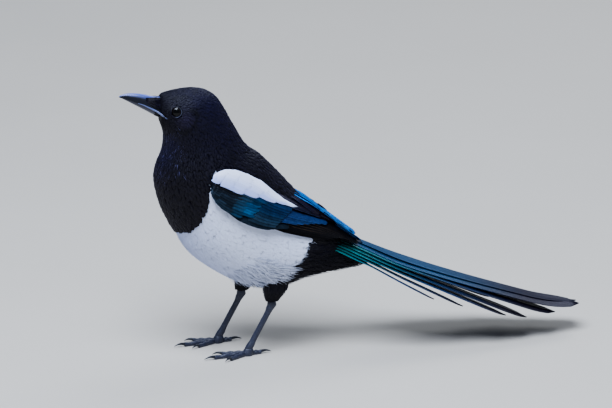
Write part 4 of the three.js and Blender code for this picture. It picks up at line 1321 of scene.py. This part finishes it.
# %% Tail feathers
left_tail = []
for pair, spec in enumerate(TAIL_FEATHERS):
    ends = ((0, 0), (1, 0), spec[5])
    left_tail.append(lay_row(
        feather_sheet(spec), TAIL_VANE, 1, ends, ends, lift=0, sunk=0, tilt=0, camber=0.35, thickness=0.35,
        outside=(0.3, 0, 1), tip_round=0.15, root=0.5, tones=tail_tones(pair), seed=90 + pair, clear=False,
    ))
right_tail = mirrored(left_tail)
right_tail[0]["points"] = right_tail[0]["points"] - (0, 0, RIGHT_LOWER)
joined_piece("tail_feathers", pack_strips(left_tail + right_tail), tail_feathers, ("tail",))


# %% Upper tail coverts
def ridge_sheet(x, y):
    return np.stack([x, y, ridge_height(x) - 0.3 * np.abs(y)], axis=-1)


TAIL_COVERT_ROWS = [
    (3, (82, -6), (103, -8), 3.4, (82, -1.5), (111, -2), 3.4, 1.4, lesser_tones),
    (3, (80, -5), (97, -7), 3.4, (80, -1), (103, -2), 3.4, 1.9, lesser_tones),
]
left_coverts = lay_rows(
    ridge_sheet, TAIL_COVERT_ROWS, seed=97, vane=SHORT_VANE, sunk=2, tilt=0.3, outside=(0.3, 0, 1),
    tip_round=0.3, clear=False,
)
coverts = pack_strips(left_coverts + mirrored(left_coverts))
joined_piece("tail_coverts", coverts, black_feathers)

# %% [markdown]
# ## Bill
# The bill is horn, black, with a painted blue-grey highlight along the ridge of the upper half;
# the lower half gets a tenth of that colour all over. The upper half is deeper at the ridge and
# ends in a slight hook. Both halves are tubes whose section is round above and flat at the cutting
# edge, sent along the same rows of numbers as the solids.

# %% Bill surface
# x, height of the ridge, of the cutting edge and of the lower edge, and half width
BILL_ROWS = np.array([
    (-61.1, 223, 211.6, 206.3, 6.6),
    (-66.5, 224.2, 213.9, 208.6, 6),
    (-72.8, 225.9, 217.3, 212.3, 5),
    (-80.6, 227.2, 220.4, 216.8, 3.7),
    (-88.4, 227.4, 223.2, 221.3, 2.1),
    (-92.6, 226.4, 224.5, 223.6, 1),
    (-94.5, 225.0, 224.7, 224.3, 0.25),
])
BILL_GAP = 0.3
BILL_BACK = 3.0  # how far the horn runs on under the feathers
BILL_ROOT = 0.02  # share of the bill's length that is drawn back


def bill_section(share):
    """Place, heights and half width of the bill at a share of its length, drawn back at its root."""
    x, *rest = np.moveaxis(through(BILL_ROWS, share * (len(BILL_ROWS) - 1)), -1, 0)
    return x + BILL_BACK * np.clip(1 - share / BILL_ROOT, 0, 1), *rest


def bill_upper(share, turn):
    x, ridge, edge, _, half = bill_section(share)
    above = np.clip(np.sin(turn), 0, 1)
    y = half * np.cos(turn) * (1 - 0.22 * above)
    z = edge + (ridge - edge) * above**0.85 + 0.25 * np.clip(-np.sin(turn), 0, 1) * half * 0.2
    return np.stack([x, y, z], axis=-1)


def bill_lower(share, turn):
    x, _, edge, low, half = bill_section(share)
    x = x + 0.6 * share
    below = np.clip(-np.sin(turn), 0, 1)
    y = half * 0.94 * np.cos(turn) * (1 - 0.3 * below)
    top = edge - BILL_GAP
    z = top - np.maximum(top - low, 0.1) * below**0.85
    return np.stack([x, y, z], axis=-1)


# %% Horn
def horn_material(name, low, high, **settings):
    """Smooth dark horn, mottled slowly between two colours along its length."""
    material, shader = new_material(name, Roughness=0.3, Specular_IOR_Level=0.5, **settings)
    mottle = mixed(material, object_noise(material, 260.0, stretch=(0.3, 1, 1)), low, high)
    bumped(material, shader, object_noise(material, 1500.0, stretch=(0.25, 1, 1)), 0.00006)
    return material, shader, mottle


horn, horn_shader, horn_colour = horn_material(
    "claw_horn", (0.008, 0.009, 0.012), (0.022, 0.026, 0.042), Coat_Weight=0.2, Coat_Roughness=0.2,
)
link(horn, horn_colour, horn_shader, "Base Color")

bill_horn, bill_shader, bill_mottle = horn_material(
    "bill_horn", (0.7, 0.7, 0.7), (1.3, 1.3, 1.3), Coat_Weight=0.25, Coat_Roughness=0.25,
)
bill_colours = {0: stored_tone(bill_horn), 1: bill_mottle}
bill_mix = add_node(bill_horn, "ShaderNodeVectorMath", bill_colours, operation="MULTIPLY")
link(bill_horn, bill_mix.outputs["Vector"], bill_shader, "Base Color")

# %% Bill pieces
BILL_BLACK = np.array((0.009, 0.010, 0.016))
# blue-grey of the painted highlight along the upper ridge of the bill
BILL_PAINTED_HIGHLIGHT = np.array((0.085, 0.12, 0.38))
# painted highlight colour of the mouth ridge
BILL_LIP_HIGHLIGHT = np.array((0.11, 0.135, 0.27))


def bill_piece(name, surface, painted_highlight):
    """Half of the bill, black with a painted blue-grey highlight whose share is given by the height share
    above the cutting edge.
    """
    bm = shape(unit_tube(32, 48), surface)
    spots = np.array([v.co[:] for v in bm.verts])
    mesh = mesh_from(bm, name, 50)
    x_mm = (spots[:, 0] - SHIFT_X) / MM
    order = BILL_ROWS[::-1]
    ridge, edge = (np.interp(x_mm, order[:, 0], order[:, k]) for k in (1, 2))
    above = (spots[:, 2] / MM - edge) / np.maximum(ridge - edge, 0.5)
    light = np.clip(painted_highlight(above), 0, 1)[:, None]
    store_tone(mesh, BILL_BLACK + (BILL_PAINTED_HIGHLIGHT - BILL_BLACK) * light)
    add_object(name + "_horn", mesh, bill_horn, (name,))


# painted highlight on the top of the upper half
bill_piece("bill_upper", bill_upper, lambda above: (above - 0.62) / 0.3)
# a tenth of the painted highlight colour, evenly over the lower half
bill_piece("bill_lower", bill_lower, lambda above: 0.1 + 0 * above)

# %% [markdown]
# The cutting edge runs on over the face as a low ridge of bare skin, down to the corner of the
# mouth below the eye. It is a thin tube laid along the edge of the bill and then on the face,
# coloured all over in a light blue-grey that is a painted highlight: the thin line where it catches the
# light.

# %% Mouth ridge
# x, distance from the middle, height and radius
LIP_PATH = np.array([
    (-79, -3.9, 219.6, 0.2),
    (-74.5, -4.5, 217.9, 0.5),
    (-70, -5.3, 215.6, 0.7),
    (-65, -6.4, 213.1, 0.9),
    (-61.5, -8.2, 210.9, 1.05),
    (-58.6, -11.2, 208.9, 1.0),
    (-56.2, -13.7, 207.3, 0.6),
])


def lip_ridge(side):
    def surface(share, turn):
        x, y, z, radius = np.moveaxis(through(LIP_PATH, share * (len(LIP_PATH) - 1)), -1, 0)
        return np.stack([x, side * (y + radius * np.cos(turn)), z + radius * np.sin(turn)], axis=-1)
    return surface


for name, side in (("left", 1), ("right", -1)):
    lip = mesh_from(shape(unit_tube(12, 40), lip_ridge(side)), "lip_" + name)
    # the whole mouth ridge gets the painted highlight colour
    store_tone(lip, np.broadcast_to(BILL_LIP_HIGHLIGHT, (len(lip.vertices), 3)))
    add_object("lip_ridge_" + name, lip, bill_horn)
print("bill pieces made")

# %% [markdown]
# ## Eyes
# The eye is a dark ball, most of it inside the head. A disc of almost nine millimetres shows, with
# a dark brown iris round a black pupil, and a thin ring of lid skin round it. The ball keeps
# one smooth surface, and the iris is told from the pupil by an attribute on its points.

# %% Eyeballs and lids
eye_material, eye_shader = new_material("eye", Roughness=0.12, Specular_IOR_Level=0.2, Coat_Weight=0.2,
                                        Coat_Roughness=0.06)
iris_noise = ranged(eye_material, object_noise(eye_material, 2500.0), 0.6, 1.5)
link(eye_material, tinted(eye_material, iris_noise, stored_tone(eye_material)), eye_shader, "Base Color")
lid_material, lid_shader = new_material("lid", Roughness=0.45, Specular_IOR_Level=0.5)
lid_noise = object_noise(lid_material, 3000.0)
lid_colour = mixed(lid_material, lid_noise, (0.03, 0.033, 0.055), (0.09, 0.10, 0.15))
link(lid_material, lid_colour, lid_shader, "Base Color")
bumped(lid_material, lid_shader, lid_noise, 0.0001)
IRIS = np.array((0.009, 0.007, 0.007))
PUPIL = np.array((0.002, 0.002, 0.002))
PUPIL_RADIUS = 2.5
LID_RADIUS, LID_THICK = 4.5, 0.5


def eye_pieces(name, side):
    """A ball and its lid on the left (1) or the right (-1)."""
    place, axis = EYE_PLACE * (1, side, 1), EYE_AXIS * (1, side, 1)
    centre = place - axis * math.sqrt(EYEBALL_RADIUS**2 - EYE_DISC_RADIUS**2)
    facing = Vector((0, 0, 1)).rotation_difference(Vector(axis)).to_matrix().to_4x4()
    bm = bmesh.new()
    turned = Matrix.Translation(Vector(placed(centre))) @ facing
    bmesh.ops.create_uvsphere(bm, u_segments=48, v_segments=32, radius=EYEBALL_RADIUS * MM, matrix=turned)
    mesh = mesh_from(bm, "eyeball_" + name)
    spots = np.array([v.co[:] for v in mesh.vertices])
    out = (spots - placed(centre)) @ axis / MM
    reach = np.sqrt(np.clip(EYEBALL_RADIUS**2 - out**2, 0, None))
    pupil = (reach < PUPIL_RADIUS) | (reach > EYE_DISC_RADIUS)
    store_tone(mesh, where(pupil, PUPIL, IRIS))
    add_object("eyeball_" + name, mesh, eye_material, ("eye_" + name,))
    ring = bmesh.new()
    bmesh.ops.create_circle(
        ring, segments=10, radius=LID_THICK * MM,
        matrix=Matrix.Translation((LID_RADIUS * MM, 0, 0)) @ Matrix.Rotation(math.pi / 2, 4, "X"),
    )
    bmesh.ops.spin(ring, geom=ring.verts[:] + ring.edges[:], cent=(0, 0, 0), axis=(0, 0, 1),
                   angle=2 * math.pi, steps=48, use_merge=True)
    bmesh.ops.recalc_face_normals(ring, faces=ring.faces)
    set_in_place = Matrix.Translation(Vector(placed(place))) @ facing
    bmesh.ops.transform(ring, matrix=set_in_place, verts=ring.verts)
    add_object("lid_" + name, mesh_from(ring, "lid_" + name), lid_material)


for name, side in (("left", 1), ("right", -1)):
    eye_pieces(name, side)
print("eyes made")

# %% [markdown]
# ## Nasal bristles
# Stiff black bristles grow from the face forward over the nostrils and lie on the sides of the
# bill. They are the same small blades, laid on the bill's surface instead of the body's.

# %% Bristles on the bill
def lay_on_bill(surface, start, finish, turn_start, turn_end, half, height, root, run, tone):
    """Small feathers along the right side of a half of the bill, and the same on the left."""
    along = LOCK["along"]
    start, finish, turn_start, turn_end, half = (
        values[:, None] for values in (start, finish, turn_start, turn_end, half)
    )
    share = np.clip(start + (finish - start) * along, 0, 1)
    turn = turn_start + (turn_end - turn_start) * along + half * LOCK["across"] / 5.0
    outward = unit(np.stack([0 * turn, np.cos(turn), np.sin(turn)], axis=-1))
    height = height + 0.4 * half * LOCK["high"]
    points = surface(share, turn) + outward * height[..., None]
    root_uv = np.stack([start[:, 0] + 0.05, root], axis=-1) * 0.9 + 0.04
    block = small_block(LOCK, points, half * LOCK["across"], along * run, root_uv, tone, outward)
    return [block] + mirrored([block])


def bristles(seed=41, count=150):
    rng = np.random.default_rng(seed)
    start = rng.uniform(-0.02, 0.09, count)
    finish = rng.uniform(0.2, 0.34, count)
    level = rng.uniform(0.0, 1.0, count)
    turn_end = np.radians(24 + 16 * level + rng.normal(0, 4, count))
    half = rng.uniform(0.25, 0.5, count)
    height = 0.25 + 0.55 * rng.uniform(0.4, 1.0, count)[:, None] * (1 - LOCK["along"])
    turn_start = np.radians(8 + 60 * level)
    return lay_on_bill(
        bill_upper, start, finish, turn_start, turn_end, half, height, level, 10, BLACK * 1.2,
    )


def chin_feathers(seed=42, count=110):
    """Short feathers that run on from the chin over the root of the lower half of the bill."""
    rng = np.random.default_rng(seed)
    start, turn = rng.uniform(-0.02, 0.05, count), -np.radians(rng.uniform(8, 90, count))
    finish = start + rng.uniform(0.05, 0.12, count)
    half = rng.uniform(0.3, 0.55, count)
    height = 0.15 + 0.4 * (1 - LOCK["along"])
    return lay_on_bill(bill_lower, start, finish, turn, turn, half, height, -turn / math.pi, 6, BLACK)


joined_piece("nasal_bristles", bristles(), black_feathers)
joined_piece("chin_feathers", chin_feathers(), black_feathers)

# %% [markdown]
# ## Legs and feet
# The shank and toes are bare and covered with scutes: low overlapping plates. They are tubes
# whose radius steps in and out a little along the length, which is how plates look from a step
# away. The feet are joined by a Boolean, and each claw is a bent tapering tube.

# %% Leg material
leg_skin, leg_shader = new_material("leg_skin", Roughness=0.42, Specular_IOR_Level=0.5, Coat_Weight=0.1,
                                    Coat_Roughness=0.4)
leg_spot = add_node(leg_skin, "ShaderNodeTexCoord").outputs["Object"]
leg_cells = add_node(leg_skin, "ShaderNodeTexVoronoi", {"Vector": leg_spot, "Scale": 900.0})
leg_grain = leg_cells.outputs["Distance"]
leg_colour = mixed(leg_skin, leg_grain, (0.016, 0.018, 0.032), (0.045, 0.05, 0.085))
link(leg_skin, leg_colour, leg_shader, "Base Color")
bumped(leg_skin, leg_shader, leg_grain, 0.00025)

# %% Shanks
FOOT_TOP = 6.2
SCUTES = 9


def shank(leg, share, turn):
    z = THIGH_FOOT + 3 - share * (THIGH_FOOT + 3 - FOOT_TOP + 1.5)
    heel_x, heel_y, heel_z = leg["heel"]
    down = np.clip((heel_z - z) / (heel_z - FOOT_TOP), 0, 1)
    knob = 1 + 0.42 * np.exp(-((z - heel_z) ** 2) / 14) + 0.3 * np.exp(-((z - 8) ** 2) / 12)
    x = heel_x + (leg["ball"][0] + 1.6 - heel_x) * down
    y = leg["side"] * (heel_y + (leg["ball"][1] - heel_y) * down)
    front = np.clip(-np.cos(turn), 0, 1) ** 0.5
    plate = 0.05 * ((share * SCUTES) % 1.0) * front
    reach = knob * (1 + plate)
    return np.stack([x + 2.75 * reach * np.cos(turn), y + 2.1 * reach * np.sin(turn), z], axis=-1)


for name, leg in LEGS.items():
    tube = shape(unit_tube(24, 90), lambda share, turn: shank(leg, share, turn))
    add_object("shank_scutes_" + name, mesh_from(tube, "shank_" + name, 60), leg_skin,
               ("shank_" + name,))

# %% Toes and claws
TOES = [("middle", 0, 29, 9.5, 2.1), ("inner", -22, 21, 8, 1.9), ("outer", 26, 20, 7.5, 1.9),
        ("hind", 180, 12.5, 9.5, 2.1)]
TOE_HEIGHT = 4.2
TOE_SECTION = np.array([(1.0, 0.45), (0.62, 0.9), (0.0, 1.04), (-0.62, 0.9), (-1.0, 0.45), (-0.6, 0.0),
                        (0.0, 0.0), (0.6, 0.0)])


def toe_frame(leg, angle):
    heading = math.radians(leg["turn"] + angle)
    way = np.array([-math.cos(heading), leg["side"] * math.sin(heading), 0.0])
    across = np.array([-way[1], way[0], 0.0])
    start = np.array([leg["ball"][0], leg["side"] * leg["ball"][1], 0.0])
    return start, way, across


def toe(leg, spec, share, turn):
    _, angle, length, _, radius = spec
    start, way, across = toe_frame(leg, angle)
    bulge = 1 + 0.13 * np.cos(share * 6 * math.pi)
    slim = 1 - 0.26 * share
    plate = 1 + 0.05 * ((share * length / 2.1) % 1.0) * np.clip(np.sin(turn), 0, 1)
    round_again = np.concatenate([TOE_SECTION, TOE_SECTION[:2]])
    section = through(round_again, turn / (2 * math.pi) * len(TOE_SECTION))
    reach = radius * slim * bulge * section[..., 0] * plate
    high = TOE_HEIGHT * slim * (0.4 + 0.6 * bulge) * np.clip(section[..., 1], 0, 2) * plate
    flat = start + way * (share * length)[..., None] + across * reach[..., None]
    flat[..., 2] = high
    return flat


def claw(leg, spec, share, turn):
    _, angle, length, claw_length, _ = spec
    start, way, across = toe_frame(leg, angle)
    distance = length - 1.2 + (claw_length + 1.2) * share
    height = 1.75 + 1.5 * np.sin(math.pi * np.minimum(share * 0.9, 1)) - 1.2 * share
    reach = 1.35 * (1 - share) ** 0.7 + 0.12
    spots = start + way * distance[..., None] + across * (0.75 * reach * np.cos(turn))[..., None]
    spots[..., 2] = np.maximum(height + reach * np.sin(turn), 0.1)
    return spots


def ball_of_foot(leg, share, turn):
    x, y = leg["ball"][0], leg["side"] * leg["ball"][1]
    rows = np.array([(0.4, 0, 4.2, 3.6), (0.6, 2.2, 4.6, 4.0), (1.2, 4.4, 4.2, 3.6), (1.6, 6.2, 3.4, 2.8)])
    shift, z, reach_x, reach_y = np.moveaxis(through(rows, share * 3), -1, 0)
    return np.stack([x + shift + reach_x * np.cos(turn), y + reach_y * np.sin(turn), z], axis=-1)


# %% Join the feet
for name, leg in LEGS.items():
    parts = [shape(unit_tube(32, 8), lambda share, turn: ball_of_foot(leg, share, turn))]
    for spec in TOES:
        parts.append(shape(unit_tube(16, 48), lambda share, turn: toe(leg, spec, share, turn)))
        tube = shape(unit_tube(14, 16), lambda share, turn: claw(leg, spec, share, turn))
        add_object("claw_horn_" + name + "_" + spec[0], mesh_from(tube, "claw"), horn,
                   ("claw_" + name + "_" + spec[0],))
    foot = union_mesh(parts, "foot_" + name)
    foot.shade_smooth()
    add_object("foot_skin_" + name, foot, leg_skin, ("foot_" + name,))
print("legs made")

# %% [markdown]
# ## Floor and light
# The floor is a large pale sheet; it isn't part of the bird. The
# light is soft, as under a bright overcast sky: one wide lamp above and in front, a weaker one
# on the far side, and a pale world that fills the shadows. Lamps and world are a little blue, as
# a sky is, and the floor's own colour is a little warm, so that it looks grey under them.

# %% Floor
floor_material, floor_shader = new_material("pale_floor", Roughness=0.8, Specular_IOR_Level=0.2)
floor_noise = ranged(floor_material, object_noise(floor_material, 6.0), 0.97, 1.03)
floor_tone = add_node(floor_material, "ShaderNodeRGB")
floor_tone.outputs[0].default_value = (0.56, 0.52, 0.46, 1)
link(floor_material, tinted(floor_material, floor_noise, floor_tone.outputs[0]), floor_shader, "Base Color")
floor_bm = bmesh.new()
bmesh.ops.create_grid(floor_bm, x_segments=4, y_segments=4, size=4.0)
floor_mesh = mesh_from(floor_bm, "floor")
floor_mesh.materials.append(floor_material)
floor = bpy.data.objects.new("floor", floor_mesh)
bpy.context.collection.objects.link(floor)


# %% Lights
def add_lamp(name, place, size, power, colour=(1, 1, 1)):
    lamp = bpy.data.lights.new(name, "AREA")
    lamp.size = size
    lamp.energy = power
    lamp.color = colour
    holder = bpy.data.objects.new(name, lamp)
    holder.location = place
    aim_at = Vector((0, 0, 0.12)) - Vector(place)
    holder.rotation_euler = aim_at.to_track_quat("-Z", "Y").to_euler()
    bpy.context.collection.objects.link(holder)


add_lamp("sky_lamp", (-0.45, -0.75, 1.9), 1.3, 76, (0.75, 0.84, 1.0))
add_lamp("far_lamp", (0.9, 1.2, 1.5), 1.2, 16, (0.85, 0.92, 1.0))
world = bpy.data.worlds.new("studio")
world.use_nodes = True
world.node_tree.nodes["Background"].inputs["Color"].default_value = (0.62, 0.73, 1.0, 1)
world.node_tree.nodes["Background"].inputs["Strength"].default_value = 0.26
bpy.context.scene.world = world
bpy.context.scene.view_settings.look = "AgX - Medium High Contrast"
print("lamps set")
